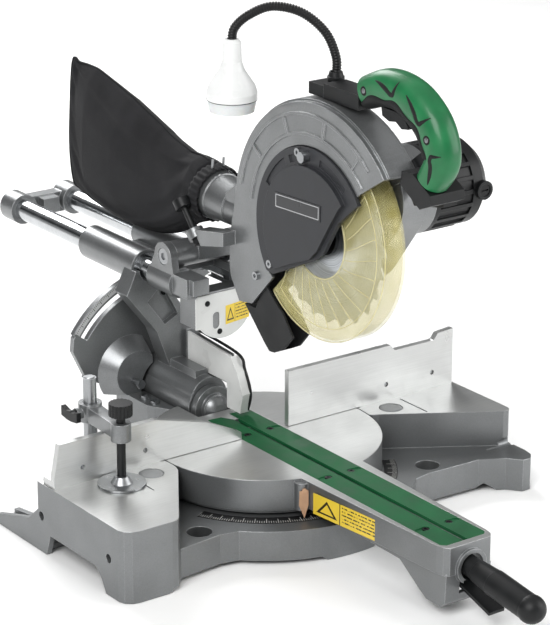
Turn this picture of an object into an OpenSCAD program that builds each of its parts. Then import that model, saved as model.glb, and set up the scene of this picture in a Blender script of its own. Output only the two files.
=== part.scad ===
// Sliding compound saw: a cast base with a turntable, a tilting bracket, two slide pipes and a
// hinged cutting head.  +X is the operator's right, +Y points away from the operator, +Z is up.
// The origin is on the turntable's axis, at the bench.

/* [Base] */
// Height of the table top above the bench
table_z = 88; // [80:1:100]
// Height of the ledge in front of the turntable
ledge_z = 42; // [38:1:44]
// Half the width of the base
base_hw = 299; // [292:1:310]
// Radius of the turntable disc
disc_r = 143; // [140:1:144]
// Wall thickness of the castings
wall = 7; // [5:0.5:9]
// Radius of the bench bolt holes
bolt_r = 5.5; // [4.5:0.5:6.5]
// Radius of the side bores for extension rods
rod_r = 5.5; // [4:0.5:6.5]

/* [Fence] */
// Distance of the fence face behind the turntable's axis
fence_y = 3; // [2:0.5:5]
// Thickness of the fence plates
fence_t = 8; // [6:0.5:9]
// Height of the right fence above the table
fence_h = 72; // [60:1:76]

/* [Turntable] */
// Half the width of the front arm at its end
arm_hw = 36; // [34:1:38]
// Reach of the front arm from the turntable's axis
arm_reach = 388; // [380:1:396]
// Half the width of the kerf slot between the inserts
kerf_hw = 3.5; // [3:0.5:5]

/* [Slide and tilt] */
// Radius of the slide pipes
pipe_r = 14; // [12:0.5:15]
// Half the distance between the slide pipes
pipe_x = 40; // [38:1:42]
// Height of the slide pipes above the bench
pipe_z = 257; // [255:1:262]
// Radius of the tilting barrel
barrel_r = 31; // [28:1:32]

/* [Head] */
// Radius of the saw blade
blade_r = 108; // [100:1:108]
// Radius of the upper blade case
case_r = 160; // [156:1:164]
// Outer radius of the lower guard
guard_r = 125; // [122:1:127]
// Radius of the motor housing
motor_r = 49; // [44:1:50]

/* [Hidden] */

$fn = 64;
fine = 120;          // facets of the large rounds
eps = 0.01;          // overlap that joins solids of one casting
gap = 0.3;           // running gap between bodies
cast = [0.52, 0.53, 0.54];
dark_cast = [0.2, 0.2, 0.21];
machined = [0.86, 0.86, 0.85];
steel = [0.75, 0.76, 0.78];
black = [0.08, 0.08, 0.09];
green = [0.1, 0.5, 0.3];
charcoal = [0.2, 0.2, 0.21];
clear_yellow = [0.85, 0.82, 0.45, 0.5];
white = [0.93, 0.93, 0.94];
fabric = [0.13, 0.13, 0.14];

well_r = disc_r + 1.5;      // radius of the opening that the disc turns in
tilt_z = table_z;           // height of the tilt axis
hinge_y = 138;              // head hinge, behind the turntable's axis
hinge_z = 288.6;
arbor_y = -122;             // arbor with the head raised
arbor_z = 376;
motor_y = -176;             // motor axis
motor_z = 430;
case_hw = 22;               // half the inside width of the blade case, left side
gear_dist = norm([motor_y - arbor_y, motor_z - arbor_z]);
pinion_teeth = 18;
gear_teeth = 54;
pinion_pr = gear_dist / (1 + gear_teeth / pinion_teeth);
gear_pr = gear_dist - pinion_pr;
gear_x = 47;                // face of the driven gear
gear_w = 9;

// ---------------------------------------------------------------- helpers

// Points of an arc about (cx, cy), from angle a to angle b
function arc(cx, cy, r, a, b, n = 24) =
  [for (i = [0:n]) let (t = a + (b - a) * i / n) [cx + r * cos(t), cy + r * sin(t)]];

// A closed outline moved inwards by d; the outline runs counter-clockwise
function inset(p, d) = [for (i = [0:len(p) - 1])
  let (a = p[(i + len(p) - 1) % len(p)], b = p[i], c = p[(i + 1) % len(p)],
       u = (b - a) / norm(b - a), v = (c - b) / norm(c - b),
       n = [-u[1], u[0]], m = [-v[1], v[0]])
  b + d / (1 + n * m) * (n + m)];

// Outline in the Y-Z plane, extruded along X from x0 to x1
module yz_plate(x0, x1) {
  translate([x0, 0, 0]) rotate([90, 0, 90]) linear_extrude(x1 - x0) children();
}

// Outline in the X-Z plane, extruded along Y from y0 to y1
module xz_plate(y0, y1) {
  translate([0, y1, 0]) rotate([90, 0, 0]) linear_extrude(y1 - y0) children();
}

// Cylinder along X
module x_rod(r, x0, x1, y, z, fn = 64) {
  translate([x0, y, z]) rotate([0, 90, 0]) cylinder(r = r, h = x1 - x0, $fn = fn);
}

// Cylinder along Y
module y_rod(r, y0, y1, x, z, fn = 64) {
  translate([x, y0, z]) rotate([-90, 0, 0]) cylinder(r = r, h = y1 - y0, $fn = fn);
}

module box(x0, x1, y0, y1, z0, z1) {
  translate([x0, y0, z0]) cube([x1 - x0, y1 - y0, z1 - z0]);
}

// Pan-head screw with a hexagon socket, head up, standing on z = 0
module screw(r, h, shank_r, shank) {
  difference() {
    union() {
      cylinder(r = r, h = h, $fn = 32);
      translate([0, 0, -shank]) cylinder(r = shank_r, h = shank + eps, $fn = 24);
    }
    translate([0, 0, h * 0.4]) cylinder(r = r * 0.5, h = h, $fn = 6);
  }
}

// Oval tube swept along points; w is the half width across side, t the half width in the bend plane
module sweep(p, w, t, side, n = 16) {
  last = len(p) - 1;
  dirs = [for (i = [0:last])
    let (d = p[min(i + 1, last)] - p[max(i - 1, 0)]) d / norm(d)];
  pts = [for (i = [0:last]) let (b = cross(dirs[i], side), c = b / norm(b))
    for (k = [0:n - 1]) p[i] + w[i] * cos(360 * k / n) * side + t[i] * sin(360 * k / n) * c];
  sides = [for (i = [0:last - 1]) for (k = [0:n - 1])
    let (a = i * n + k, b = i * n + (k + 1) % n)
    each [[a, b, b + n], [a, b + n, a + n]]];
  ends = [[for (k = [n - 1:-1:0]) k], [for (k = [0:n - 1]) last * n + k]];
  polyhedron(points = pts, faces = concat(sides, ends), convexity = 6);
}

// Points of a smooth curve through the given points
function curve(p, steps = 4) = concat(
  [for (i = [0:len(p) - 2]) for (s = [0:steps - 1])
    let (a = p[max(i - 1, 0)], b = p[i], c = p[i + 1], d = p[min(i + 2, len(p) - 1)], t = s / steps)
    0.5 * (2 * b + (c - a) * t + (2 * a - 5 * b + 4 * c - d) * t * t
      + (3 * b - a - 3 * c + d) * t * t * t)],
  [p[len(p) - 1]]);

// Straight-sided gear outline with slim teeth
module gear_outline(teeth, pr, phase) {
  pitch = 360 / teeth;
  polygon([for (i = [0:teeth - 1])
    each [for (q = [[-0.36, -1.9], [-0.14, 1.4], [0.14, 1.4], [0.36, -1.9]])
      let (a = (i + q[0]) * pitch + phase, r = pr + q[1]) [r * cos(a), r * sin(a)]]]);
}

// ---------------------------------------------------------------- base

wing_front = -150;
left_wing = [[-139, 38], [-base_hw, 38], [-base_hw, -134], [-296, -142], [-289, -148], [-281, wing_front],
  [-236, wing_front], [-227, -148], [-221, -141], [-148, -31], [-145, -22]];
right_wing = [[139, 38], [141, -21], [146, -27], [153, -30], [286, -112], [293, -113], [298, -108],
  [base_hw, -100], [base_hw, 38]];
floor_plan = concat([[base_hw, 38], [-base_hw, 38], [-base_hw, -134], [-289, -148], [-236, wing_front],
  [-213, -133], [-155, -127]], arc(0, 0, 186, 225, 315), [[155, -127], [232, -130], [262, -146], [276, -163],
  [288, -163], [296, -154], [base_hw, -140]]);
foot_reach = 135;          // how far the rear feet stand out behind the turntable's axis
bench_hole_x = 169.5;
bench_hole_y = -106;
rear_hole_x = 286;
rear_hole_y = 112;

module plan_outline(d) {
  polygon(inset(floor_plan, d));
  circle(r = 153 - d, $fn = fine);
}

module wing(p) {
  difference() {
    linear_extrude(table_z) difference() {
      polygon(p);
      circle(r = well_r, $fn = fine);
    }
    translate([0, 0, -eps]) linear_extrude(table_z - wall) difference() {
      polygon(inset(p, wall));
      circle(r = well_r + wall, $fn = fine);
    }
  }
}

// Rear foot: a flange on the bench with a sloping web, behind one wing
module rear_foot() {
  box(-base_hw, -268, 30, foot_reach, 0, wall);
  yz_plate(-base_hw, -base_hw + wall) polygon([[30, 0], [foot_reach, 0], [foot_reach, 12], [60, 34], [30, 60]]);
  yz_plate(-275, -268) polygon([[30, 0], [foot_reach, 0], [foot_reach, 12], [60, 22], [30, 34]]);
}

module base_casting() color(cast) difference() {
  union() {
    translate([0, 0, ledge_z - wall]) linear_extrude(wall) plan_outline(0);
    linear_extrude(ledge_z - wall + eps) difference() {
      plan_outline(0);
      plan_outline(wall);
    }
    wing(left_wing);
    wing(right_wing);
    for (s = [0, 1]) mirror([s, 0, 0]) {
      rear_foot();
      translate([-bench_hole_x, bench_hole_y, 4]) cylinder(r = 20, h = ledge_z - 5);
      // lug for the rods and the vise post behind the fence
      box(-base_hw, -268, 24, 38, 30, table_z);
      translate([post_x, post_y, 30]) cylinder(r = 17, h = table_z - 30);
    }
    translate([0, 0, 12]) cylinder(r = 26, h = ledge_z - 12);
    for (a = [30:60:330]) rotate(a) box(20, 140, -3, 3, 22, ledge_z - wall + eps);
  }
  // well for the disc, and the openings under it
  translate([0, 0, ledge_z]) cylinder(r = well_r, h = table_z, $fn = fine);
  cylinder(r = 8.2, h = table_z);
  for (a = [0:60:300]) rotate(a) translate([84, 0, 0]) cylinder(r = 30, h = table_z);
  // bench bolt holes in their cups
  for (s = [-1, 1]) {
    translate([s * bench_hole_x, bench_hole_y, 12]) cylinder(r = 15, h = ledge_z);
    translate([s * bench_hole_x, bench_hole_y, -eps]) cylinder(r = bolt_r, h = ledge_z);
    translate([s * rear_hole_x, rear_hole_y, -eps]) cylinder(r = bolt_r, h = 20);
    // rod bores, front and rear, on each side
    for (y = [-114, 31]) x_rod(rod_r, s > 0 ? 260 : -base_hw - 1, s > 0 ? base_hw + 1 : -260, y, 46);
    translate([s * post_x, post_y, 29]) cylinder(r = 8.1, h = table_z);
    y_rod(3.1, post_y, post_y + 30, s * post_x, 66, 24);
    // arches under the side walls
    yz_plate(s > 0 ? 285 : -base_hw - 8, s > 0 ? base_hw + 8 : -285)
      polygon([[-108, -1], [-98, 16], [-86, 27], [12, 27], [22, -1]]);
  }
  // arches under the front wall
  xz_plate(-190, -100) {
    polygon([[-242, -1], [-234, 5], [-48, 5], [-38, -1]]);
    polygon([[24, -1], [34, 5], [230, 5], [238, 10], [248, 4], [254, -1]]);
  }
  // opening in the rear wall
  box(-225, 225, 20, 170, -1, 30);
  // lines that mark the blade's way
  box(-205, -203, -64, -40, table_z - 1, table_z + 1);
  box(206, 208, -58, -4, table_z - 1, table_z + 1);
  // recesses for the round caps
  for (s = [-1, 1]) translate([s * 179, -21, table_z - 1]) cylinder(r = 15, h = 2);
}

module fence_face(p) {
  xz_plate(fence_y, fence_y + fence_t) polygon(p);
}

module left_fence() color(machined) difference() {
  union() {
    fence_face([[-297, table_z], [-297, 101], [-289, 142], [-156, 142], [-82, 121.6], [-33, 97.6],
      [-32, table_z + 0.6], [-150, table_z + 0.6], [-150, table_z]]);
    box(-297, -152, fence_y, 27, table_z, table_z + 9);
    box(-152, -60, fence_y, 20, table_z + 0.6, table_z + 9);
    for (x = [-285, -222, -160]) yz_plate(x - 3, x + 3)
      polygon([[fence_y + 2, table_z + 8], [25, table_z + 8], [fence_y + fence_t, table_z + 48], [fence_y + 2, table_z + 48]]);
  }
  for (x = [-258, -171.5]) y_rod(3.2, 0, 20, x, 107, 24);
  for (x = [-272, -190]) translate([x, 21, table_z - 1]) cylinder(r = 3.3, h = 30, $fn = 24);
}

module right_fence() color(machined) difference() {
  union() {
    fence_face([[38, table_z + 0.6], [150, table_z + 0.6], [150, table_z], [297, table_z],
      [297, table_z + fence_h + 2], [272, table_z + fence_h], [266, table_z + fence_h - 8],
      [203, table_z + fence_h - 8], [196, table_z + fence_h], [38, table_z + fence_h]]);
    box(152, 297, fence_y, 27, table_z, table_z + 9);
    box(60, 152, fence_y, 20, table_z + 0.6, table_z + 9);
    for (x = [160, 222, 285]) yz_plate(x - 3, x + 3)
      polygon([[fence_y + 2, table_z + 8], [25, table_z + 8], [fence_y + fence_t, table_z + 60], [fence_y + 2, table_z + 60]]);
  }
  for (x = [190, 264]) y_rod(3.2, 0, 20, x, 109, 24);
  for (x = [190, 272]) translate([x, 21, table_z - 1]) cylinder(r = 3.3, h = 30, $fn = 24);
}

module fence_screws() color(steel) {
  for (x = [-272, -190, 190, 272]) translate([x, 21, table_z + 9]) screw(5.5, 4, 3, 8.9);
  for (p = [[-258, 107], [-171.5, 107], [190, 109], [264, 109]])
    translate([p[0], fence_y + fence_t, p[1]]) rotate([-90, 0, 0]) screw(4.5, 3, 3, fence_t - 2);
}

module pivot_bolt() color(steel) {
  translate([0, 0, 6]) cylinder(r = 8, h = 60);
  translate([0, 0, 4]) cylinder(r = 14, h = 8, $fn = 6);
}

// ---------------------------------------------------------------- vise

post_x = -221;
post_y = 44;
vise_x = -224;
vise_y = -27;
vise_arm_z = 145;

module vise_post() color(steel) {
  translate([post_x, post_y, 34]) cylinder(r = 8, h = 164);
  translate([post_x, post_y, 196]) cylinder(r1 = 8, r2 = 6, h = 3);
}

// Wing bolt: shank along -Y from its tip, wings behind
module wing_bolt(shank) {
  y_rod(3, 0, shank + 1, 0, 0, 24);
  y_rod(6, shank, shank + 9, 0, 0, 32);
  xz_plate(shank + 3, shank + 9) polygon([[-17, -4], [-5, -6], [5, -6], [17, -4], [17, 8], [6, 5], [-6, 5], [-17, 8]]);
}

module vise_post_bolt() color(black) translate([post_x, post_y + 8.3, 66]) wing_bolt(14);

module vise_arm() color(machined) difference() {
  union() {
    translate([post_x, post_y, vise_arm_z]) cylinder(r = 14, h = 22);
    translate([vise_x, vise_y, vise_arm_z - 2]) cylinder(r = 12, h = 22);
    hull() {
      translate([post_x, post_y, vise_arm_z + 1]) cylinder(r = 9, h = 19, $fn = 32);
      translate([vise_x, vise_y, vise_arm_z]) cylinder(r = 8, h = 17, $fn = 32);
    }
    x_rod(7, post_x - 20, post_x - 8, post_y, vise_arm_z + 11, 32);
  }
  translate([post_x, post_y, vise_arm_z - 1]) cylinder(r = 8.05, h = 30);
  translate([vise_x, vise_y, vise_arm_z - 5]) cylinder(r = 5.6, h = 30);
  x_rod(3.1, post_x - 25, post_x - 7, post_y, vise_arm_z + 11, 24);
}

module vise_arm_bolt() color(black) translate([post_x - 8.3, post_y, vise_arm_z + 11]) rotate([0, 0, 90])
  wing_bolt(12);

module vise_screw() color(black) translate([vise_x, vise_y, 0]) {
  translate([0, 0, 99]) cylinder(r = 5.3, h = 78);
  difference() {
    translate([0, 0, 174]) cylinder(r = 14, h = 15);
    for (a = [0:20:340]) rotate(a) translate([14.6, 0, 173]) cylinder(r = 1.5, h = 17, $fn = 16);
  }
}

module vise_pad() color(steel) translate([vise_x, vise_y, table_z + 0.4]) difference() {
  union() {
    cylinder(r = 28.5, h = 2.2);
    translate([0, 0, 2]) cylinder(r1 = 13, r2 = 8, h = 8);
  }
  translate([0, 0, 5]) cylinder(r = 5.6, h = 10);
}

// ---------------------------------------------------------------- turntable

arm_plan = [[-46, -110], [-arm_hw, -372], [-34, -382], [-29, -arm_reach], [29, -arm_reach], [34, -382],
  [arm_hw, -372], [46, -110]];
insert_hw = 32;
insert_front = -379;
handle_z = 60;
handle_tilt = 7;
neck_hw = 46;               // half width of the neck behind the disc
neck_z = ledge_z + 4;
quad_y = 235;               // front face of the bevel quadrant plate
quad_r = 150;
clamp_r = 133.5;            // the clamp bolt stands this far from the tilt axis
clamp_a = 97;               // and at this angle

left_insert = [[-kerf_hw, 62], [-12, 76], [-30, 78], [-33, 55], [-22, 32], [-22, 20], [-insert_hw, 10],
  [-insert_hw, insert_front + 5], [-27, insert_front], [-kerf_hw, insert_front]];
right_insert = [[kerf_hw, insert_front], [27, insert_front], [insert_hw, insert_front + 5], [insert_hw, 80],
  [kerf_hw, 80]];
insert_t = 4;

module turntable() color(cast) difference() {
  union() {
    translate([0, 0, ledge_z + 4]) cylinder(r = disc_r - 2, h = 4, $fn = fine);
    translate([0, 0, ledge_z + 7]) cylinder(r = disc_r, h = table_z - ledge_z - 7, $fn = fine);
    translate([0, 0, 54]) linear_extrude(table_z - 54) polygon(arm_plan);
    yz_plate(-32, 32) polygon([[-150, 56], [-150, 47], [-304, 45], [-340, 21], [-352, 14], [-378, 14],
      [-384, 20], [-386, 56]]);
    y_rod(21, -392, -370, 0, handle_z);
    // neck that carries the tilting parts, with a wall on each side of the barrel
    box(-neck_hw, neck_hw, 90, 262, neck_z, neck_z + 10);
    translate([0, 0, neck_z]) linear_extrude(tilt_z - 4 - neck_z) {
      polygon([[-34, 128], [-34, quad_y], [-58, quad_y], [-58, 172], [-54, 162]]);
      polygon([[34, 128], [58, 140], [58, quad_y], [34, quad_y]]);
    }
    // holder of the mitre pointer
    translate([-47, -139, 52]) cylinder(r = 9, h = 34, $fn = 32);
  }
  // hollow of the disc and of the arm
  difference() {
    translate([0, 0, ledge_z]) cylinder(r = disc_r - wall, h = table_z - ledge_z - 9, $fn = fine);
    translate([0, 0, ledge_z - 1]) cylinder(r = 20, h = table_z);
    for (a = [20:40:340]) rotate(a) box(18, disc_r, -2.5, 2.5, ledge_z + 8, table_z);
    box(-42, 42, -disc_r, -100, 0, table_z);
    box(-36, 36, 85, disc_r, 0, table_z);
  }
  yz_plate(-26, 26) polygon([[-120, 79], [-120, 40], [-300, 40], [-334, 16], [-350, 10], [-374, 10],
    [-378, 20], [-380, 79]]);
  // blade slot and recess of the inserts
  box(-13, 13, insert_front + 10, 58, 50, table_z + 1);
  translate([0, 0, table_z - insert_t]) linear_extrude(insert_t + 1) {
    polygon(inset([for (i = [len(left_insert) - 1:-1:0]) left_insert[len(left_insert) - 1 - i]], -0.2));
    polygon(inset(right_insert, -0.2));
    polygon([[-kerf_hw - 1, insert_front], [kerf_hw + 1, insert_front], [kerf_hw + 1, 60], [-kerf_hw - 1, 60]]);
  }
  // holes of the screws of the inserts and of the stand
  for (x = [-17, 17]) for (y = screw_y) translate([x, y, 76]) cylinder(r = 2.02, h = 12, $fn = 24);
  for (y = [172, 194]) translate([-46, y, 72]) cylinder(r = 3.02, h = 14, $fn = 24);
  // bore of the centre bolt and of the side handle
  cylinder(r = 8.2, h = 70);
  y_rod(16, -400, -376, 0, handle_z);
  translate([0, -arm_reach, handle_z]) rotate([handle_tilt, 0, 0]) y_rod(5.1, -12, 60, 0, 0, 32);
  // recess of the tilt shaft's front lug
  box(-34, 34, cap_y - 15, 150, neck_z + 10, table_z + 1);
  // slot for the flat lever below the handle
  box(-12, 12, -400, -366, 28, 46);
}

module insert_left() color(green) insert_plate(left_insert, -1);
module insert_right() color(green) insert_plate(right_insert, 1);

screw_y = [12, -150, -330];
module insert_plate(p, s) difference() {
  translate([0, 0, table_z - insert_t]) linear_extrude(insert_t) polygon(p);
  for (y = screw_y) {
    translate([s * 17, y, 0]) cylinder(r = 2.4, h = table_z + 1, $fn = 24);
    translate([s * 17, y, table_z - 1.6]) linear_extrude(3) hull() {
      circle(r = 5, $fn = 32);
      translate([s * 10, 0]) circle(r = 4, $fn = 32);
    }
  }
}

module insert_screws() color(steel)
  for (s = [-1, 1]) for (y = screw_y) translate([s * 17, y, table_z - 1.6]) screw(4, 1.2, 2, 8);

module mitre_pointer() color([0.9, 0.72, 0.58]) rotate(-18.7) translate([0, -147, 0]) {
  xz_plate(-10.4, -9.2) polygon([[-6, 78], [-6.5, 60], [0, 43.5], [5, 60], [4.8, 78]]);
  y_rod(3, -12, -9, 0, 78, 24);
}

module side_handle() color(black) translate([0, -arm_reach, handle_z]) rotate([handle_tilt, 0, 0])
  rotate([90, 0, 0]) {
    translate([0, 0, -40]) cylinder(r = 4.8, h = 42, $fn = 32);
    translate([0, 0, -6]) cylinder(r = 12, h = 22);
    translate([0, 0, 14]) cylinder(r1 = 13, r2 = 15, h = 28);
    translate([0, 0, 42]) cylinder(r = 15.5, h = 58);
    translate([0, 0, 98]) cylinder(r1 = 15, r2 = 16, h = 4);
    translate([0, 0, 104]) sphere(r = 16.5);
  }

module detent_lever() color(black) translate([0, -372, 41]) rotate([17, 0, 0]) {
  box(-11, 11, -66, 4, -2, 2);
  x_rod(3.5, -11, 11, 1, 0, 32);
}

// Dome-backed stand of the tilting parts, with the quadrant plate
module quad_face(r0, r1, a0, a1) {
  polygon(concat(arc(0, tilt_z, r1, a0, a1), arc(0, tilt_z, r0, a1, a0)));
}

module bevel_base() color(cast) difference() {
  union() {
    // stand and rear bearing
    xz_plate(quad_y, quad_y + 34) polygon([[-58, tilt_z], [-58, tilt_z - 3.7], [58, tilt_z - 3.7], [50, tilt_z + 12],
      [34, tilt_z + 22], [-34, tilt_z + 22]]);
    y_rod(36, quad_y, quad_y + 34, 0, tilt_z);
    box(-neck_hw, neck_hw, quad_y, 262, neck_z + 10, tilt_z);
    // quadrant plate on the left, beyond the tilting bracket
    xz_plate(quad_y, quad_y + 8) {
      polygon(concat([[0, tilt_z - 20], [40, tilt_z]], arc(0, tilt_z, 112, 78, 168), [[-58, 84]]));
      quad_face(110, quad_r, 93, 146);
      polygon([[-126, 150], [-124, 168], [-118, 174], [-90, 150], [-96, 100], [-107, 110]]);
    }
    // bulged front of the stand
    translate([-44, quad_y, 110]) rotate([90, 0, 0]) cylinder(r1 = 46, r2 = 30, h = 20);
  }
  y_rod(10.2, quad_y - 30, quad_y + 40, 0, tilt_z);
  // seats on the turntable's neck
  box(-60, 60, quad_y - 40, quad_y + 40, neck_z, neck_z + 10);
  box(-100, 60, quad_y - 40, quad_y, neck_z, tilt_z - 4);
  // slot of the clamp bolt
  xz_plate(quad_y - 2, quad_y + 40) quad_face(clamp_r - 5.5, clamp_r + 5.5, 88, 145);
  // room for the barrel and the arm of the tilting bracket
  y_rod(barrel_r + 7, quad_y - 80, quad_y - 1, 0, tilt_z);
  xz_plate(quad_y - 40, quad_y - eps) polygon([[-12, tilt_z - 40], [-30, 220], [60, 220], [60, tilt_z - 40]]);
}

module base_bolts() color(steel) {
  for (y = [172, 194]) translate([-46, y, tilt_z - 4]) screw(6, 4, 3, 10);
  // stop bolt of the tilt, on the stand
  y_rod(3, quad_y - 36, quad_y - 20, -50, 102, 24);
  y_rod(6, quad_y - 40, quad_y - 35, -50, 102, 6);
}

cap_y = 108;                // front of the fixed lug that carries the tilt shaft
module pivot_cap() color(dark_cast) difference() {
  union() {
    y_rod(28, cap_y, cap_y + 10, 0, tilt_z);
    y_rod(19, cap_y - 6, cap_y + 1, 0, tilt_z);
    intersection() {
      y_rod(19, cap_y - 14, cap_y, 0, tilt_z);
      translate([0, cap_y + 4, tilt_z]) sphere(r = 20);
    }
    box(-28, 28, cap_y, cap_y + 10, neck_z + 10, tilt_z);
  }
  y_rod(10.2, cap_y - 2, cap_y + 20, 0, tilt_z);
}

// ---------------------------------------------------------------- tilting bracket

housing_front = 197;
housing_rear = 320;
housing_r = 22;
barrel_front = 119;
arm_front = 186;
arm_rear = 213;

module tilt_holder() color(cast) difference() {
  union() {
    y_rod(barrel_r, barrel_front, quad_y - 2, 0, tilt_z);
    y_rod(barrel_r - 4, barrel_front, quad_y - 2, 0, tilt_z + 10);
    for (s = [-1, 1]) y_rod(housing_r, housing_front, housing_rear, s * pipe_x, pipe_z);
    box(-pipe_x, pipe_x, housing_front + 8, housing_rear - 12, pipe_z - 15, pipe_z - 5);
    // arm from the barrel up to the pipe housings
    xz_plate(arm_front, arm_rear) polygon([[-8, tilt_z + 20], [26, tilt_z + 16], [34, tilt_z + 50], [34, 176], [6, 200],
      [-4, 214], [62, 240], [62, pipe_z], [-62, pipe_z], [-72, 236], [-76, 228], [-32, 172]]);
    // ribs and the web that carries the chip shield
    xz_plate(barrel_front + 12, arm_front + eps) polygon([[-12, tilt_z + 26], [8, tilt_z + 26], [6, tilt_z + 44], [-12, tilt_z + 44]]);
    yz_plate(12, 20) polygon([[arm_front + 1, tilt_z + 20], [124, tilt_z + 26], [120, tilt_z + 34],
      [92, tilt_z + 34], [92, tilt_z + 72], [arm_front + 1, tilt_z + 78]]);
  }
  y_rod(10.1, 60, 250, 0, tilt_z);
  for (s = [-1, 1]) {
    y_rod(pipe_r + 2.5, arm_front - 1, housing_rear + 1, s * pipe_x, pipe_z);
    y_rod(18, housing_front - 1, housing_front + 20, s * pipe_x, pipe_z);
    y_rod(18, housing_rear - 20, housing_rear + 1, s * pipe_x, pipe_z);
  }
  // lightening pocket in the arm
  xz_plate(arm_front - 1, arm_front + 8) polygon([[-46, 214], [-20, 180], [0, 190], [-16, 220], [-30, 228]]);
  // bore of the slide lock and of the clamp bolt
  x_rod(4.05, pipe_x + 10, pipe_x + 40, 262, pipe_z, 24);
  y_rod(4.55, arm_front + 6, arm_rear + 1, clamp_pos[0], clamp_pos[2], 32);
}

module pivot_shaft() color(steel) {
  y_rod(10, cap_y, quad_y + 36, 0, tilt_z);
  y_rod(14, quad_y + 34.3, quad_y + 44, 0, tilt_z, 6);
}

module slide_bearings() color(steel)
  for (s = [-1, 1]) for (y = [housing_front, housing_rear - 20]) difference() {
    y_rod(18, y, y + 20, s * pipe_x, pipe_z);
    y_rod(pipe_r + 0.1, y - 1, y + 21, s * pipe_x, pipe_z);
  }

clamp_pos = [clamp_r * cos(clamp_a), quad_y + 8, tilt_z + clamp_r * sin(clamp_a)];
module bevel_clamp_lever() color(black) translate([clamp_pos[0], 0, clamp_pos[2]]) {
  y_rod(4.5, arm_front + 7, quad_y + 20, 0, 0, 32);
  y_rod(12, quad_y + 8.3, quad_y + 24, 0, 0);
  translate([0, quad_y + 22, 0]) hull() {
    rotate([90, 0, 0]) cylinder(r = 10, h = 9, center = true, $fn = 32);
    translate([12, 34, -34]) rotate([90, 0, 0]) cylinder(r = 7, h = 9, center = true, $fn = 32);
  }
}

module slide_lock_knob() color(black) {
  x_rod(4, pipe_x + pipe_r + 0.3, pipe_x + 44, 262, pipe_z, 24);
  x_rod(13, pipe_x + housing_r + 6, pipe_x + housing_r + 22, 262, pipe_z);
  for (a = [0:60:300]) translate([pipe_x + housing_r + 6, 262, pipe_z]) rotate([a, 0, 0]) translate([0, 12, 0])
    rotate([0, 90, 0]) cylinder(r = 3.5, h = 16, $fn = 24);
}

module chip_shield() color(white) {
  yz_plate(8.5, 11.9) polygon([[178, tilt_z + 37], [92, tilt_z + 37], [92, tilt_z + 4], [64, tilt_z + 4],
    [58, tilt_z + 30], [70, tilt_z + 56], [84, tilt_z + 73], [178, tilt_z + 79]]);
  // rim along the front edge
  yz_plate(11.8, 22) polygon([[70, tilt_z + 4], [64, tilt_z + 4], [58, tilt_z + 30], [70, tilt_z + 56],
    [84, tilt_z + 73], [88, tilt_z + 70], [76, tilt_z + 54], [64, tilt_z + 30]]);
}

// ---------------------------------------------------------------- sliding carriage

pipe_front = 128;
pipe_rear = 516;
bracket_top = 272;
bracket_rear = 168;
bracket_front = 70;

module pipe(s) color(steel) difference() {
  y_rod(pipe_r, pipe_front, pipe_rear, s * pipe_x, pipe_z);
  y_rod(pipe_r - 2.5, pipe_front + 1, pipe_rear - 1, s * pipe_x, pipe_z);
}

module pipe_left() pipe(-1);
module pipe_right() pipe(1);

module rear_bridge() color(cast) difference() {
  union() {
    for (s = [-1, 1]) y_rod(20, pipe_rear - 26, pipe_rear + 4, s * pipe_x, pipe_z);
    box(-pipe_x, pipe_x, pipe_rear - 16, pipe_rear + 2, pipe_z - 16, pipe_z + 12);
    box(-12, 12, pipe_rear - 30, pipe_rear - 10, pipe_z - 10, pipe_z + 10);
  }
  for (s = [-1, 1]) y_rod(pipe_r, pipe_rear - 30, pipe_rear + eps, s * pipe_x, pipe_z);
}

module carriage_bracket() color(cast) difference() {
  union() {
    box(-54, 54, 86, bracket_rear, 247.1, bracket_top);
    box(-50, 50, bracket_front + 8, 90, 252, bracket_top);
    for (s = [-1, 1]) {
      y_rod(19, 118, bracket_rear, s * pipe_x, pipe_z);
      x_rod(18, s > 0 ? 44 : -54, s > 0 ? 54 : -44, hinge_y, hinge_z);
      yz_plate(s > 0 ? 44 : -54, s > 0 ? 54 : -44) polygon([[hinge_y - 18, hinge_z], [hinge_y - 22, bracket_top - 1],
        [hinge_y + 28, bracket_top - 1], [hinge_y + 18, hinge_z]]);
    }
  }
  for (s = [-1, 1]) y_rod(pipe_r, pipe_front, bracket_rear + 1, s * pipe_x, pipe_z);
  x_rod(7, -56, 56, hinge_y, hinge_z);
  x_rod(10.5, -55, -50, hinge_y, hinge_z);
  // room for the head's hinge barrel and arm
  box(-27, 24, bracket_front, hinge_y + 3, 240, bracket_top + 1);
  x_rod(18.5, -43.9, 43.9, hinge_y, hinge_z);
  box(-38, 38, 96, bracket_rear + 1, 240, 262);
}

module hinge_pin() color(steel) difference() {
  union() {
    x_rod(7, -53, 57, hinge_y, hinge_z);
    x_rod(10, -53.4, -50, hinge_y, hinge_z);
    x_rod(10, 54.2, 61, hinge_y, hinge_z, 6);
  }
  x_rod(5, -56, -51.5, hinge_y, hinge_z, 6);
}

spring_turns = 6;
spring_x = 22;
spring_path = [for (i = [0:spring_turns * 14]) let (a = i * 360 / 14)
  [spring_x + 3 * a / 360, hinge_y + 10.8 * cos(a), hinge_z + 10.8 * sin(a)]];
module return_spring() color(steel) sweep(spring_path, [for (q = spring_path) 1.2], [for (q = spring_path) 1.2],
  [1, 0, 0], 8);

laser_y = 82;
module laser_housing() color(dark_cast) {
  xz_plate(laser_y + 1.4, 117.5) polygon(concat([[42, 247], [-43, 247], [-43, 207]], arc(-3, 232, 40, 220, 340, 16)));
  box(-43, 42, laser_y + 1.4, 86, 247, 251.5);
}

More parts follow.
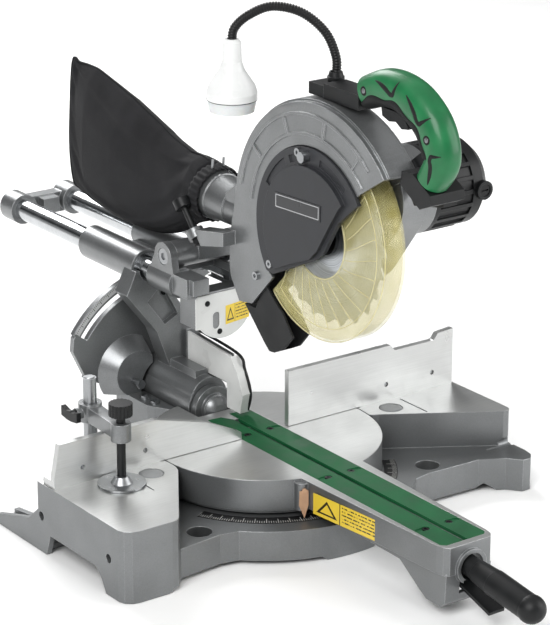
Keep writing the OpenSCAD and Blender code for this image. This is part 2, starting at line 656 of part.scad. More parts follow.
module laser_cover() color(white) difference() {
  xz_plate(laser_y, laser_y + 1.4) polygon(concat([[43, 249], [-41, 249], [-44, 246], [-44, 207]],
    arc(-3, 233, 43.5, 218, 338, 16)));
  translate([-14, 0, 0]) xz_plate(laser_y - 1, laser_y + 3) polygon(concat(arc(0, 220, 5, 0, 180, 8), arc(0, 208, 5, 180, 360, 8)));
}

// ---------------------------------------------------------------- cutting head

case_right = 25;            // outer face of the case on the motor side
case_cy = arbor_y - 6;        // centre of the case's round back
case_cz = arbor_z - 1;
front_a = 141;              // angle of the case's front edge about the arbor
head_outline = concat(arc(case_cy, case_cz, case_r - 2, front_a, 4, 40),
  [[40, 340], [42, 300], [40, 286], [22, 258], [-4, 262], [-53, 314], [-134, 352], [-150, 372], [-174, 406],
   [-206, 446]]);
cavity_outline = concat(arc(case_cy, case_cz, case_r - 6, front_a + 3, 4, 40),
  [[35, 340], [37, 300], [35, 288], [20, 264], [-8, 260], [-20, 240], [-300, 240], [-300, 470]]);

module blade_case() color(cast) difference() {
  union() {
    yz_plate(-case_hw, case_right) polygon(head_outline);
    // stepped edge band along the top
    yz_plate(-case_hw + 6, case_right - 6) polygon(concat(arc(case_cy, case_cz, case_r + 1, front_a, 14, 40),
      arc(case_cy, case_cz, case_r - 6, 14, front_a, 40)));
    // right cheek round the spindle
    x_rod(62, 21, case_right, arbor_y, arbor_z);
    // raised ribs on the left face
    yz_plate(-case_hw - 1.6, -case_hw) case_rib(118, 121.5, 8, front_a - 2);
    yz_plate(-case_hw - 1.6, -case_hw) case_rib(141, 144.5, 12, front_a - 6);
    for (a = [35, 66, 98, 126]) yz_plate(-case_hw - 1.6, -case_hw) case_rib(118, 143, a, a + 1.6);
    // hinge arm and barrel
    x_rod(17, -43, 43, hinge_y, hinge_z);
    yz_plate(-12, 20) polygon([[34, 330], [hinge_y - 4, hinge_z + 16], [hinge_y - 12, hinge_z - 9], [30, 314]]);
    // lug of the depth stop
    translate([-34, 95, 325]) rotate([-41.8, 0, 0]) cylinder(r = 11, h = 12, center = true, $fn = 32);
    yz_plate(-40, -20) polygon([[30, 344], [86, 334], [98, 322], [92, 312], [30, 327]]);
  }
  // inside of the case
  yz_plate(-case_hw + 3.5, 21) polygon(cavity_outline);
  // opening of the left face below the side cover
  yz_plate(-case_hw - 4, -case_hw + 5) polygon(concat(arc(arbor_y, arbor_z, 106, 147, -38, 40), [[-53, 300], [-210, 300],
    [-260, 420]]));
  // bores for the spindle, the hinge pin and the depth stop
  x_rod(24, 15, 30, arbor_y, arbor_z);
  x_rod(7.05, -44, 44, hinge_y, hinge_z);
  x_rod(13.5, 20, 44, hinge_y, hinge_z);
  translate([-34, 95, 325]) rotate([-41.8, 0, 0]) cylinder(r = 4.1, h = 40, center = true, $fn = 32);
  translate([-34, 95, 325]) rotate([-41.8, 0, 0]) translate([0, 0, -26]) cylinder(r = 9.5, h = 20, $fn = 32);
  // mouth of the dust duct
  y_rod(15, 20, 48, duct_x, duct_z);
}

// Ring section about the arbor, between two radii and two angles
module case_rib(r0, r1, a0, a1) {
  polygon(concat(arc(arbor_y, arbor_z, r1, a0, a1, 20), arc(arbor_y, arbor_z, r0, a1, a0, 20)));
}

side_outline = concat(arc(arbor_y, arbor_z, 105, 146, -36, 40), [[-50, 312], [-134, 352], [-146, 362], [-174, 406],
  [-205, 432]]);
module side_cover() color(charcoal) difference() {
  union() {
    yz_plate(-case_hw - 3, -case_hw + 2.4) polygon(side_outline);
    yz_plate(-case_hw - 9, -case_hw - 2) polygon(concat(arc(arbor_y, arbor_z, 84, 140, -34, 32),
      [[-58, 322], [-128, 352], [-142, 366], [-168, 406], [-182, 426]]));
  }
  // bow-shaped slots
  for (a = [[28, 58], [64, 84], [100, 132]]) yz_plate(-case_hw - 4, -case_hw - 1) case_rib(88, 97, a[0], a[1]);
}

module case_screws() color(steel) {
  for (p = [[-46, 324, -3], [-100, 472, -3], [-14, 300, 0]])
    translate([-case_hw + p[2], p[0], p[1]]) rotate([0, -90, 0]) screw(5, 3.5, 2.5, eps);
  // spring-loaded bolt that holds the side cover
  x_rod(6.5, -case_hw - 12, -case_hw - 3, -114, 470, 32);
}

duct_x = 5;
duct_z = 362;
outlet_tilt = -84;          // the outlet points back and slightly up
module dust_duct() color(cast) difference() {
  union() {
    y_rod(23, 38.5, 66, duct_x, duct_z);
    translate([duct_x, 62, duct_z]) rotate([outlet_tilt, 0, 0]) cylinder(r1 = 25, r2 = 29, h = 36);
    translate([duct_x, 94, duct_z + 3]) rotate([outlet_tilt, 0, 0]) cylinder(r = 30, h = 20);
    for (s = [-1, 1]) yz_plate(duct_x + s * 17 - 3, duct_x + s * 17 + 3)
      polygon([[38.5, 348], [60, 352], [60, 382], [38.5, 398]]);
  }
  y_rod(15, 30, 70, duct_x, duct_z);
  // step that clears the rear rib of the blade case
  box(-30, 40, 30, 41.2, 330, 347.5);
  translate([duct_x, 66, duct_z]) rotate([outlet_tilt, 0, 0]) cylinder(r1 = 17, r2 = 26, h = 34);
  translate([duct_x, 96, duct_z + 3]) rotate([outlet_tilt, 0, 0]) cylinder(r = 27.2, h = 30);
}

// Plain closed form of the fabric bag, over the mouth of the duct
bag_pts = [[duct_x, 118.5, 368], [duct_x, 150, 366], [duct_x, 220, 360], [duct_x, 300, 369], [duct_x, 380, 382],
  [duct_x, 432, 384]];
bag_half = [36, 44, 68, 83, 90, 86];
bag_thick = [27, 27, 30, 32, 28, 14];
module dust_bag() color(fabric) sweep(bag_pts, bag_thick, bag_half, [1, 0, 0], 24);

module bag_clip() color(steel) translate([duct_x, 108, 366.5]) rotate([outlet_tilt, 0, 0]) {
  rotate_extrude() translate([31.7, 0]) circle(r = 1.6, $fn = 16);
  for (x = [-8, 8]) translate([x, -31, 0]) rotate([90, 0, 0]) cylinder(r = 1.6, h = 14, $fn = 16);
}

module chip_flap() color(black) {
  difference() {
    yz_plate(-18.2, 8) polygon([[16, 256], [-6, 256], [-30, 300], [-44, 288], [-62, 262], [-80, 240], [-62, 220], [-44, 211], [-34, 210], [-24, 218]]);
    x_rod(guard_r + 2, -30, 30, arbor_y, arbor_z, fine);
    yz_plate(-15.2, 5) polygon([[10, 262], [-4, 257], [-30, 222], [-38, 214], [-90, 200], [-90, 320], [-20, 320]]);
  }
}

module gear_case() color(cast) difference() {
  union() {
    hull() {
      x_rod(gear_pr + 5, case_right, 60, arbor_y, arbor_z, 48);
      x_rod(52, case_right, 60, motor_y, motor_z, 48);
    }
    x_rod(motor_r + 3, 59, 74, motor_y, motor_z);
  }
  x_rod(gear_pr + 2.5, 41, 58.5, arbor_y, arbor_z);
  x_rod(pinion_pr + 3, 41, 58.5, motor_y, motor_z);
  x_rod(15.05, 24, 70, arbor_y, arbor_z);
  x_rod(9, 56, 80, motor_y, motor_z);
}

module motor_housing() color(black) difference() {
  union() {
    x_rod(motor_r, 74, 128, motor_y, motor_z);
    for (a = [0:18:342]) translate([74, motor_y, motor_z]) rotate([a, 0, 0]) box(0, 54, -2.4, 2.4, motor_r - 4, motor_r + 3);
    x_rod(motor_r + 3, 74, 80, motor_y, motor_z);
  }
  x_rod(motor_r - 4, 77, 129, motor_y, motor_z);
  x_rod(9, 70, 80, motor_y, motor_z);
}

module motor_end_cover() color(black) difference() {
  union() {
    x_rod(motor_r + 2, 128, 142, motor_y, motor_z);
    translate([142, motor_y, motor_z]) rotate([0, 90, 0]) cylinder(r1 = motor_r + 2, r2 = motor_r - 8, h = 12);
    for (s = [-1, 1]) translate([0, motor_y, motor_z]) rotate([s * 90, 0, 0]) translate([140, 0, motor_r - 8])
      cylinder(r = 11, h = 16);
  }
  x_rod(motor_r - 4, 127, 142, motor_y, motor_z);
  for (s = [-1, 1]) translate([0, motor_y, motor_z]) rotate([s * 90, 0, 0]) translate([140, 0, motor_r - 12])
    cylinder(r = 7.5, h = 24);
}

module brush_caps() color(black)
  for (s = [-1, 1]) translate([0, motor_y, motor_z]) rotate([s * 90, 0, 0]) translate([140, 0, motor_r - 8]) difference() {
    cylinder(r = 7.4, h = 15);
    translate([-5, -1, 13]) cube([10, 2, 4]);
  }

grip_path = curve([[8, -186, 557], [8, -225, 570], [8, -268, 564], [8, -302, 540], [8, -314, 508], [8, -298, 480]], 4);
grip_n = len(grip_path) - 1;
grip_w = [for (i = [0:grip_n]) 17 + 2 * sin(180 * i / grip_n)];
grip_t = [for (i = [0:grip_n]) 18 + 4 * sin(180 * i / grip_n)];
module handle_grip() color(green) sweep(grip_path, grip_w, grip_t, [1, 0, 0], 24);

module handle_frame() color(black) {
  // upper mount on the case, lower mount on the motor side
  box(-8, 24, -186, -122, 536.2, 554);
  box(-6, 22, -122, -92, 536.2, 550);
  yz_plate(25.3, 40) polygon([[-300, 494], [-278, 470], [-240, 460], [-226, 476], [-262, 504]]);
  yz_plate(-8, 40) polygon([[-313.6, 469], [-282.4, 487], [-264, 486], [-262, 470], [-296, 450], [-314, 458]]);
  yz_plate(25.3, 44) polygon([[-262, 470], [-300, 470], [-296, 446], [-246, 436], [-230, 456]]);
}

module trigger() color(black) yz_plate(2, 14) polygon([[-214, 546], [-252, 545], [-262, 530], [-250, 528], [-240, 534], [-228, 532], [-216, 536]]);

neck_path = curve([[18, -111, 556], [18, -111, 578], [10, -101, 606], [-8, -80, 627], [-30, -54, 632], [-48, -33, 620],
  [-58, -20, 604], [-60, -18, 586]], 5);
neck_side = [93, 78, 0] / norm([93, 78, 0]);
module lamp_base() color(black) difference() {
  union() {
    translate([18, -111, 550.3]) cylinder(r = 10, h = 6);
    translate([18, -111, 556]) cylinder(r1 = 9, r2 = 7.5, h = 6);
  }
  translate([18, -111, 555.8]) cylinder(r = 6.6, h = 8);
}
module gooseneck() color(black) sweep(neck_path, [for (p = neck_path) 5.6], [for (p = neck_path) 5.6], neck_side, 12);
module lamp_head() color(white) translate([-60, -18, 0]) difference() {
  rotate_extrude() polygon([[0, 592], [8, 592], [11, 588], [11.5, 566], [15, 556], [27, 538], [29.5, 530], [29.5, 522], [0, 522]]);
  translate([0, 0, 521]) cylinder(r = 26, h = 6);
  translate([0, 0, 584]) cylinder(r = 5.7, h = 20);
}
module lamp_lens() color(white) translate([-60, -18, 508]) cylinder(r1 = 26, r2 = 28.5, h = 14);

module depth_stop() color(black) translate([-34, 95, 325]) rotate([-41.8, 0, 0]) {
  translate([0, 0, -15]) cylinder(r = 4, h = 55, $fn = 32);
  translate([0, 0, 36]) cylinder(r = 11, h = 12);
  translate([0, 0, -13]) cylinder(r = 8, h = 6, $fn = 6);
}

// ---------------------------------------------------------------- rotating parts

module blade() color(steel) difference() {
  union() {
    x_rod(blade_r - 7, -0.9, 0.9, arbor_y, arbor_z, fine);
    yz_plate(-1.1, 1.1) translate([arbor_y, arbor_z]) saw_outline(24);
  }
  x_rod(15, -2, 2, arbor_y, arbor_z);
}

module saw_outline(teeth) polygon([for (i = [0:teeth - 1]) let (a = i * 360 / teeth)
  each [blade_r * [cos(a), sin(a)], (blade_r - 8) * [cos(a + 2), sin(a + 2)],
        (blade_r - 9) * [cos(a + 6), sin(a + 6)], (blade_r - 2) * [cos(a + 12), sin(a + 12)]]]);

module arbor_clamp() color(black) {
  difference() {
    union() {
      x_rod(24, -6.5, -1.1, arbor_y, arbor_z);
      x_rod(24, 1.1, 6, arbor_y, arbor_z);
    }
    x_rod(10, -8, 8, arbor_y, arbor_z);
  }
  x_rod(9, -14, -6.5, arbor_y, arbor_z, 6);
}

module spindle() color(steel) {
  x_rod(10, -6.5, 60, arbor_y, arbor_z);
  x_rod(15, 6, 46.9, arbor_y, arbor_z);
  yz_plate(gear_x, gear_x + gear_w) translate([arbor_y, arbor_z]) gear_outline(gear_teeth, gear_pr, gear_phase);
}

mesh_a = atan2(motor_z - arbor_z, motor_y - arbor_y);
gear_phase = mesh_a;                     // a tooth of the gear points at the pinion
pinion_phase = mesh_a + 180 + 180 / pinion_teeth;   // and a gap of the pinion meets it
module armature() color(steel) {
  x_rod(6, 60, 138, motor_y, motor_z);
  x_rod(26, 84, 118, motor_y, motor_z);
  x_rod(8, 57.2, 61, motor_y, motor_z);
  yz_plate(gear_x, gear_x + gear_w + 2) translate([motor_y, motor_z]) gear_outline(pinion_teeth, pinion_pr, pinion_phase);
}

guard_a0 = 128;
guard_a1 = 314;
module guard_sector(r) polygon(concat([[arbor_y, arbor_z]], arc(arbor_y, arbor_z, r, guard_a0, guard_a1, 48)));
module lower_guard() color(clear_yellow) difference() {
  union() {
    yz_plate(-14, 14) guard_sector(guard_r);
    x_rod(58, -14, 14, arbor_y, arbor_z);
    x_rod(56, 16, 18, arbor_y, arbor_z);
    x_rod(40, 12, 17, arbor_y, arbor_z);
    // stop knob on the motor side
    x_rod(6, 13, 19, arbor_y - 98, arbor_z + 34, 32);
  }
  yz_plate(-12, 12) polygon(concat([[arbor_y + 130, arbor_z + 60], [arbor_y, arbor_z + 130]], arc(arbor_y, arbor_z, guard_r - 2.5, guard_a0 - 30, guard_a1 + 30, 60)));
  x_rod(50, -20, -1, arbor_y, arbor_z);
  x_rod(28, 0, 30, arbor_y, arbor_z);
}

base_casting();
left_fence();
right_fence();
fence_screws();
pivot_bolt();
vise_post();
vise_post_bolt();
vise_arm();
vise_arm_bolt();
vise_screw();
vise_pad();
turntable();
insert_left();
insert_right();
insert_screws();
mitre_pointer();
side_handle();
detent_lever();
bevel_base();
base_bolts();
pivot_cap();
tilt_holder();
pivot_shaft();
slide_bearings();
bevel_clamp_lever();
slide_lock_knob();
chip_shield();
pipe_left();
pipe_right();
rear_bridge();
carriage_bracket();
hinge_pin();
return_spring();
laser_housing();
laser_cover();
blade_case();
side_cover();
case_screws();
dust_duct();
dust_bag();
bag_clip();
chip_flap();
gear_case();
motor_housing();
motor_end_cover();
brush_caps();
handle_frame();
handle_grip();
trigger();
lamp_base();
gooseneck();
lamp_head();
lamp_lens();
depth_stop();
blade();
arbor_clamp();
spindle();
armature();
lower_guard();
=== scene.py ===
import math

import bpy
import numpy as np
from mathutils import Matrix, Vector


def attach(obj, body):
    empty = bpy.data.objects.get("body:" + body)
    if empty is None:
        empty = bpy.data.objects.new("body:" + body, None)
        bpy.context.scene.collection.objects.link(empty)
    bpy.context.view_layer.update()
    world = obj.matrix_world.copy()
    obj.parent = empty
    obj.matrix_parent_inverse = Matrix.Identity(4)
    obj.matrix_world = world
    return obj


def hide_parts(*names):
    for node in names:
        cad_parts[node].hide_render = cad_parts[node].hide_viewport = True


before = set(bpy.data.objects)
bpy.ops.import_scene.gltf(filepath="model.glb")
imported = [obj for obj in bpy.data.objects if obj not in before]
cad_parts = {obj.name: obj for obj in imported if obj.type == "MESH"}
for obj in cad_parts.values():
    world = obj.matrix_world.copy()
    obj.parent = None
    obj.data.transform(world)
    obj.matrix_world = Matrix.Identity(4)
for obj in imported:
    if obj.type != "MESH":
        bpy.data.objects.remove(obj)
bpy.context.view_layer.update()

bl_info = {
    "name": "Sliding mitre saw finishes", "version": (1, 0, 0), "blender": (4, 5, 0),
    "location": "3D View > Sidebar > Mitre Saw",
    "description": "Materials, fabric bag, grip, scales and trim for the packed saw, in a plain studio",
    "category": "Object"}

MM = 0.001
NOISE = "ShaderNodeTexNoise"
RANGE = "ShaderNodeMapRange"
MATH = "ShaderNodeMath"
MIX = "ShaderNodeMix"
BUMP = "ShaderNodeBump"
SEPARATE = "ShaderNodeSeparateXYZ"

# Driving places of the CAD model, in millimetres
ARBOR = (-122.0, 376.0)          # y and z of the blade's axis
TILT_Z = 88.0                    # height of the bevel axis
LEDGE_Z = 42.0                   # top of the front ledge
QUAD_Y = 235.0                   # front face of the bevel quadrant
BAG_SPINE = [(5, 118.5, 368), (5, 150, 366), (5, 220, 360), (5, 300, 369), (5, 380, 382), (5, 432, 384)]
BAG_HEIGHT = [35, 43, 68, 83, 90, 86]
BAG_WIDTH = [29, 31, 34, 34, 27, 6]
GRIP_SPINE = [(8, -186, 557), (8, -225, 570), (8, -268, 564), (8, -302, 540), (8, -314, 508), (8, -298, 480)]
NECK_SPINE = [
    (18, -111, 556), (18, -111, 578), (10, -101, 606), (-8, -80, 627), (-30, -54, 632), (-48, -33, 620),
    (-58, -20, 604), (-60, -18, 586)]


# ------------------------------------------------------------------ colour and nodes


def linear(hex_colour):
    """Linear RGBA of an sRGB hex value: c becomes ((c + 0.055) / 1.055) ** 2.4, or c / 12.92 if dark."""
    c = np.array([int(hex_colour[i:i + 2], 16) for i in (1, 3, 5)]) / 255
    rgb = np.where(c <= 0.04045, c / 12.92, ((c + 0.055) / 1.055) ** 2.4)
    return (*rgb.tolist(), 1.0)


def add(tree, kind, inputs=None, **settings):
    """Adds a node of a kind, sets its own settings, then sets or links its inputs by name or number."""
    made = tree.nodes.new(kind)
    for key, value in settings.items():
        setattr(made, key, value)
    feed(tree, made, inputs or {})
    return made


def feed(tree, node, inputs):
    """Sets or links a node's inputs; a node as a value is its first output in use, and None is left out."""
    for key, value in inputs.items():
        if isinstance(value, bpy.types.Node):
            value = next(output for output in value.outputs if output.enabled)
        if isinstance(value, bpy.types.NodeSocket):
            tree.links.new(value, node.inputs[key])
        elif value is not None:
            node.inputs[key].default_value = value


def lumps(vector, size_mm, detail=3.0):
    """Inputs of a noise whose largest lumps are size_mm apart."""
    return {"Vector": vector, "Scale": 1.0 / (size_mm * MM), "Detail": detail}


def span(value, low, high, out_low=0.0, out_high=1.0):
    """Inputs of a map from low..high to out_low..out_high."""
    return {"Value": value, "From Min": low, "From Max": high, "To Min": out_low, "To Max": out_high}


def material(name, **shader):
    """A new material with one Principled shader; returns the material, its tree and the shader."""
    mat = bpy.data.materials.new(name)
    mat.use_nodes = True
    tree = mat.node_tree
    tree.nodes.clear()
    bsdf = add(tree, "ShaderNodeBsdfPrincipled", {key.replace("_", " "): v for key, v in shader.items()})
    add(tree, "ShaderNodeOutputMaterial", {"Surface": bsdf.outputs["BSDF"]})
    return mat, tree, bsdf


def place(tree, turn=(0, 0, 0), scale=(1, 1, 1)):
    """Object coordinates, turned and scaled."""
    where = add(tree, "ShaderNodeTexCoord").outputs["Object"]
    return add(tree, "ShaderNodeMapping", {"Vector": where, "Rotation": turn, "Scale": scale})


def soft_edge(tree, radius_mm):
    """A normal that rounds sharp edges to a radius, and a mask that is 1 on those edges."""
    round_normal = add(tree, "ShaderNodeBevel", {"Radius": radius_mm * MM}, samples=4)
    flat = add(tree, "ShaderNodeNewGeometry").outputs["Normal"]
    dot = add(tree, "ShaderNodeVectorMath", {0: round_normal, 1: flat}, operation="DOT_PRODUCT")
    return round_normal, add(tree, RANGE, span(dot, 0.995, 0.85))


# ------------------------------------------------------------------ materials


def cast_paint(tree, light, dark):
    """Metallic paint over a sand-textured casting: broad cloudiness over fine metal flake."""
    cloud = add(tree, NOISE, lumps(place(tree), 60, detail=2))
    flake = add(tree, NOISE, lumps(place(tree), 1.6, detail=2))
    tone = add(
        tree, MATH,
        {
            0: add(tree, MATH, {0: cloud, 1: 0.6}, operation="MULTIPLY"),
            1: add(tree, MATH, {0: flake, 1: 0.4}, operation="MULTIPLY")}, operation="ADD")
    mixed = add(tree, MIX, {0: add(tree, RANGE, span(tone, 0.35, 0.65)), 6: dark, 7: light}, data_type="RGBA")
    return mixed, flake


def painted_casting(paint):
    """Die-cast aluminium under silver-grey metallic lacquer: soft sheen, orange peel, slight cloudiness, and
    a painted highlight along its edges.
    """
    mat, tree, bsdf = material(
        "lacquered_die_casting", Metallic=0.7, Roughness=0.36, Coat_Weight=0.35, Coat_Roughness=0.18)
    dark = (*[v * 0.72 for v in paint[:3]], 1.0)
    tone, flake = cast_paint(tree, (*paint[:3], 1.0), dark)
    edge_normal, edge = soft_edge(tree, 1.6)
    # painted highlight: edges are lightened to #c4c6c7 where the rounded normal turns away from the flat one,
    # patchy by noise
    painted_edge_highlight = add(
        tree, MATH,
        {
            0: edge,
            1: add(tree, RANGE, span(add(tree, NOISE, lumps(place(tree), 14)), 0.35, 0.6, 0.25, 0.8))},
        operation="MULTIPLY")
    feed(
        tree, bsdf,
        {
            "Base Color": add(tree, MIX, {0: painted_edge_highlight, 6: tone, 7: linear("#c4c6c7")}, data_type="RGBA"),
            "Roughness": add(tree, RANGE, span(flake, 0.3, 0.7, 0.3, 0.42)),
            "Normal": add(
                tree, BUMP,
                {
                    "Height": add(tree, NOISE, lumps(place(tree), 2.2, detail=4)), "Distance": 0.02 * MM,
                    "Normal": edge_normal})})
    return mat


def machined_top_casting(paint, metal):
    """The same casting with its table fly-cut bright: level faces at the table's height are bare metal."""
    mat, tree, bsdf = material("lacquered_casting_fly_cut_top", Metallic=0.6)
    dark = (*[v * 0.82 for v in paint[:3]], 1.0)
    tone, flake = cast_paint(tree, (*paint[:3], 1.0), dark)
    # cutter marks 1.4 mm apart, drawn that coarse to show, along the table
    marks = add(tree, NOISE, lumps(place(tree, scale=(0.05, 1, 1)), 1.4, detail=2))
    wear_and_edge_highlight = add(tree, NOISE, lumps(place(tree), 45, detail=3))
    bright = (*metal[:3], 1.0)
    soft = (*[v * 0.88 for v in metal[:3]], 1.0)
    bare = add(
        tree, MIX,
        {
            0: add(tree, RANGE, span(add(tree, MATH, {0: marks, 1: wear_and_edge_highlight}, operation="ADD"), 0.75, 1.3)),
            6: soft, 7: bright}, data_type="RGBA")
    where = add(tree, "ShaderNodeTexCoord")
    up = add(tree, SEPARATE, {0: where.outputs["Normal"]}).outputs[2]
    height = add(tree, SEPARATE, {0: where.outputs["Object"]}).outputs[2]
    level = add(tree, MATH, {0: up, 1: 0.9}, operation="GREATER_THAN")
    top = add(
        tree, MATH,
        {0: level, 1: add(tree, MATH, {0: height, 1: (TILT_Z - 0.6) * MM}, operation="GREATER_THAN")},
        operation="MULTIPLY")
    edge_normal, edge = soft_edge(tree, 1.6)
    # painted highlight: the lacquered edges are lightened to #c4c6c7 where the rounded normal turns, patchy
    # by noise
    painted_edge_highlight = add(
        tree, MATH,
        {
            0: edge,
            1: add(tree, RANGE, span(add(tree, NOISE, lumps(place(tree), 14)), 0.35, 0.6, 0.25, 0.8))},
        operation="MULTIPLY")
    tone = add(tree, MIX, {0: painted_edge_highlight, 6: tone, 7: linear("#c4c6c7")}, data_type="RGBA")
    feed(
        tree, bsdf,
        {
            "Base Color": add(tree, MIX, {0: top, 6: tone, 7: bare}, data_type="RGBA"),
            "Roughness": add(tree, RANGE, span(top, 0, 1, 0.4, 0.33))})
    relief = add(tree, MATH, {0: marks, 1: 0.15, 2: flake}, operation="MULTIPLY_ADD")
    feed(tree, bsdf, {
        "Metallic": add(tree, RANGE, span(top, 0, 1, 0.75, 0.8)),
        "Normal": add(tree, BUMP, {"Height": relief, "Distance": 0.02 * MM, "Normal": edge_normal})})
    return mat


def machined_aluminium(metal):
    """Milled aluminium fence: bright, with fine cutter lines along its length and faint handling smears."""
    mat, tree, bsdf = material("milled_aluminium", Metallic=0.85, Roughness=0.33)
    lines = add(tree, NOISE, lumps(place(tree, scale=(0.02, 1, 1)), 1.2, detail=3))
    smear = add(tree, NOISE, lumps(place(tree), 38, detail=3))
    soft = (*[v * 0.88 for v in metal[:3]], 1.0)
    tone = add(
        tree, MIX,
        {
            0: add(tree, RANGE, span(add(tree, MATH, {0: lines, 1: smear}, operation="ADD"), 0.7, 1.3)),
            6: soft, 7: (*metal[:3], 1.0)}, data_type="RGBA")
    feed(
        tree, bsdf,
        {
            "Base Color": tone, "Roughness": add(tree, RANGE, span(smear, 0.3, 0.7, 0.26, 0.42)),
            "Normal": add(tree, BUMP, {"Height": lines, "Distance": 0.008 * MM})})
    return mat


def bright_steel(name, hex_colour, rough, line_mm, turn_axis):
    """Turned or plated steel: clear reflections broken by hair-thin rings round one axis and light smears."""
    mat, tree, bsdf = material(name, Metallic=1.0, Roughness=rough)
    stretch = [1.0, 1.0, 1.0]
    if turn_axis is not None:
        stretch = [0.04, 0.04, 0.04]
        stretch[turn_axis] = 1.0
    rings = add(tree, NOISE, lumps(place(tree, scale=stretch), line_mm, detail=2))
    smear = add(tree, NOISE, lumps(place(tree), 22, detail=3))
    base = linear(hex_colour)
    soft = (*[v * 0.82 for v in base[:3]], 1.0)
    feed(
        tree, bsdf,
        {
            "Base Color": add(
                tree, MIX,
                {
                    0: add(
                        tree, RANGE,
                        span(add(tree, MATH, {0: rings, 1: smear}, operation="ADD"), 0.7, 1.3)), 6: soft,
                    7: base}, data_type="RGBA"),
            "Roughness": add(tree, RANGE, span(smear, 0.3, 0.7, rough * 0.8, rough * 1.35)),
            "Normal": add(tree, BUMP, {"Height": rings, "Distance": 0.002 * MM})})
    return mat


def saw_plate():
    """Ground saw steel: rings about the arbor, drawn 1.1 mm apart so that they show, over a satin plate."""
    mat, tree, bsdf = material("ground_saw_steel", Metallic=1.0, Roughness=0.3, Anisotropic=0.4)
    spot = add(tree, SEPARATE, {0: place(tree)})
    y = add(tree, MATH, {0: spot.outputs[1], 1: ARBOR[0] * MM}, operation="SUBTRACT")
    z = add(tree, MATH, {0: spot.outputs[2], 1: ARBOR[1] * MM}, operation="SUBTRACT")
    radius = add(
        tree, MATH,
        {
            0: add(
                tree, MATH,
                {
                    0: add(tree, MATH, {0: y, 1: y}, operation="MULTIPLY"),
                    1: add(tree, MATH, {0: z, 1: z}, operation="MULTIPLY")}, operation="ADD")},
        operation="SQRT")
    ring = add(
        tree, NOISE, {"W": radius, "Scale": 900.0, "Detail": 2.0}, noise_dimensions="1D").outputs[0]
    feed(
        tree, bsdf,
        {
            "Base Color": add(
                tree, MIX,
                {0: add(tree, RANGE, span(ring, 0.3, 0.7)), 6: linear("#8e9296"), 7: linear("#c4c8cb")},
                data_type="RGBA"), "Normal": add(tree, BUMP, {"Height": ring, "Distance": 0.02 * MM})})
    return mat


def moulded(name, hex_colour, rough=0.45, grain_mm=0.9, depth_mm=0.04, coat=0.0, even=0.8, edge_mm=0.0):
    """Injection-moulded plastic: spark-eroded grain, a little mottling, gloss that varies, and a painted
    highlight along the edges when edge_mm is set.
    """
    mat, tree, bsdf = material(name, Roughness=rough, IOR=1.5, Coat_Weight=coat, Coat_Roughness=0.15,
                               Specular_IOR_Level=0.3)
    mottle = add(tree, NOISE, lumps(place(tree), 25, detail=2))
    base = linear(hex_colour) if isinstance(hex_colour, str) else hex_colour
    dark = (*[v * even for v in base[:3]], 1.0)
    light = (*[min(1.0, v / even ** 0.5) for v in base[:3]], 1.0)
    tone = add(
        tree, MIX, {0: add(tree, RANGE, span(mottle, 0.3, 0.7)), 6: dark, 7: light}, data_type="RGBA")
    edge_normal = None
    if edge_mm:
        edge_normal, edge = soft_edge(tree, edge_mm)
        # painted highlight: edges are lightened to 1.6 times the base colour plus 0.02, mixed in at 0.7 where
        # the rounded normal turns
        wear_and_edge_highlight = (*[v * 1.6 + 0.02 for v in base[:3]], 1.0)
        tone = add(
            tree, MIX, {0: add(tree, MATH, {0: edge, 1: 0.7}, operation="MULTIPLY"), 6: tone, 7: wear_and_edge_highlight},
            data_type="RGBA")
    feed(
        tree, bsdf,
        {
            "Base Color": tone,
            "Roughness": add(tree, RANGE, span(mottle, 0.3, 0.7, rough * 0.85, rough * 1.15)),
            "Normal": add(
                tree, BUMP,
                {
                    "Height": add(tree, NOISE, lumps(place(tree), grain_mm, detail=3)),
                    "Distance": depth_mm * MM, "Normal": edge_normal})})
    return mat


def clear_guard():
    """Amber-tinted polycarbonate: see-through, glossy, a little milky where sawdust has scuffed it."""
    mat, tree, bsdf = material("tinted_polycarbonate", Roughness=0.12, IOR=1.3, Alpha=0.27, Coat_Weight=0.5)
    scuff = add(tree, NOISE, lumps(place(tree), 16, detail=4))
    tone = add(
        tree, MIX,
        {0: add(tree, RANGE, span(scuff, 0.35, 0.7)), 6: linear("#cdc277"), 7: linear("#e6dfa6")},
        data_type="RGBA")
    feed(
        tree, bsdf,
        {
            "Base Color": tone, "Roughness": add(tree, RANGE, span(scuff, 0.3, 0.7, 0.08, 0.3)),
            "Normal": add(
                tree, BUMP,
                {"Height": add(tree, NOISE, lumps(place(tree), 12, detail=1)), "Distance": 0.04 * MM})})
    return mat


def guard_rib():
    """The same polycarbonate where it is thick: ribs hold more of the amber, and their paler colour is a
    painted highlight where they catch the light.
    """
    mat, tree, bsdf = material(
        "tinted_polycarbonate_rib", Roughness=0.15, IOR=1.4, Alpha=0.42, Coat_Weight=0.6)
    tone = add(
        tree, MIX,
        {0: add(tree, NOISE, lumps(place(tree), 12)), 6: linear("#d9cf94"), 7: linear("#f3efcf")},
        data_type="RGBA")
    feed(tree, bsdf, {"Base Color": tone})
    return mat


def frosted_diffuser():
    """Frosted acrylic: white, half see-through, soft highlights."""
    mat, tree, bsdf = material("frosted_acrylic", Roughness=0.3, IOR=1.49, Alpha=0.93, Subsurface_Weight=0.15)
    fine = add(tree, NOISE, lumps(place(tree), 1.4, detail=2))
    feed(
        tree, bsdf,
        {
            "Base Color": add(
                tree, MIX, {0: fine, 6: linear("#d6d8d8"), 7: linear("#e4e5e4")}, data_type="RGBA"),
            "Normal": add(tree, BUMP, {"Height": fine, "Distance": 0.03 * MM})})
    return mat


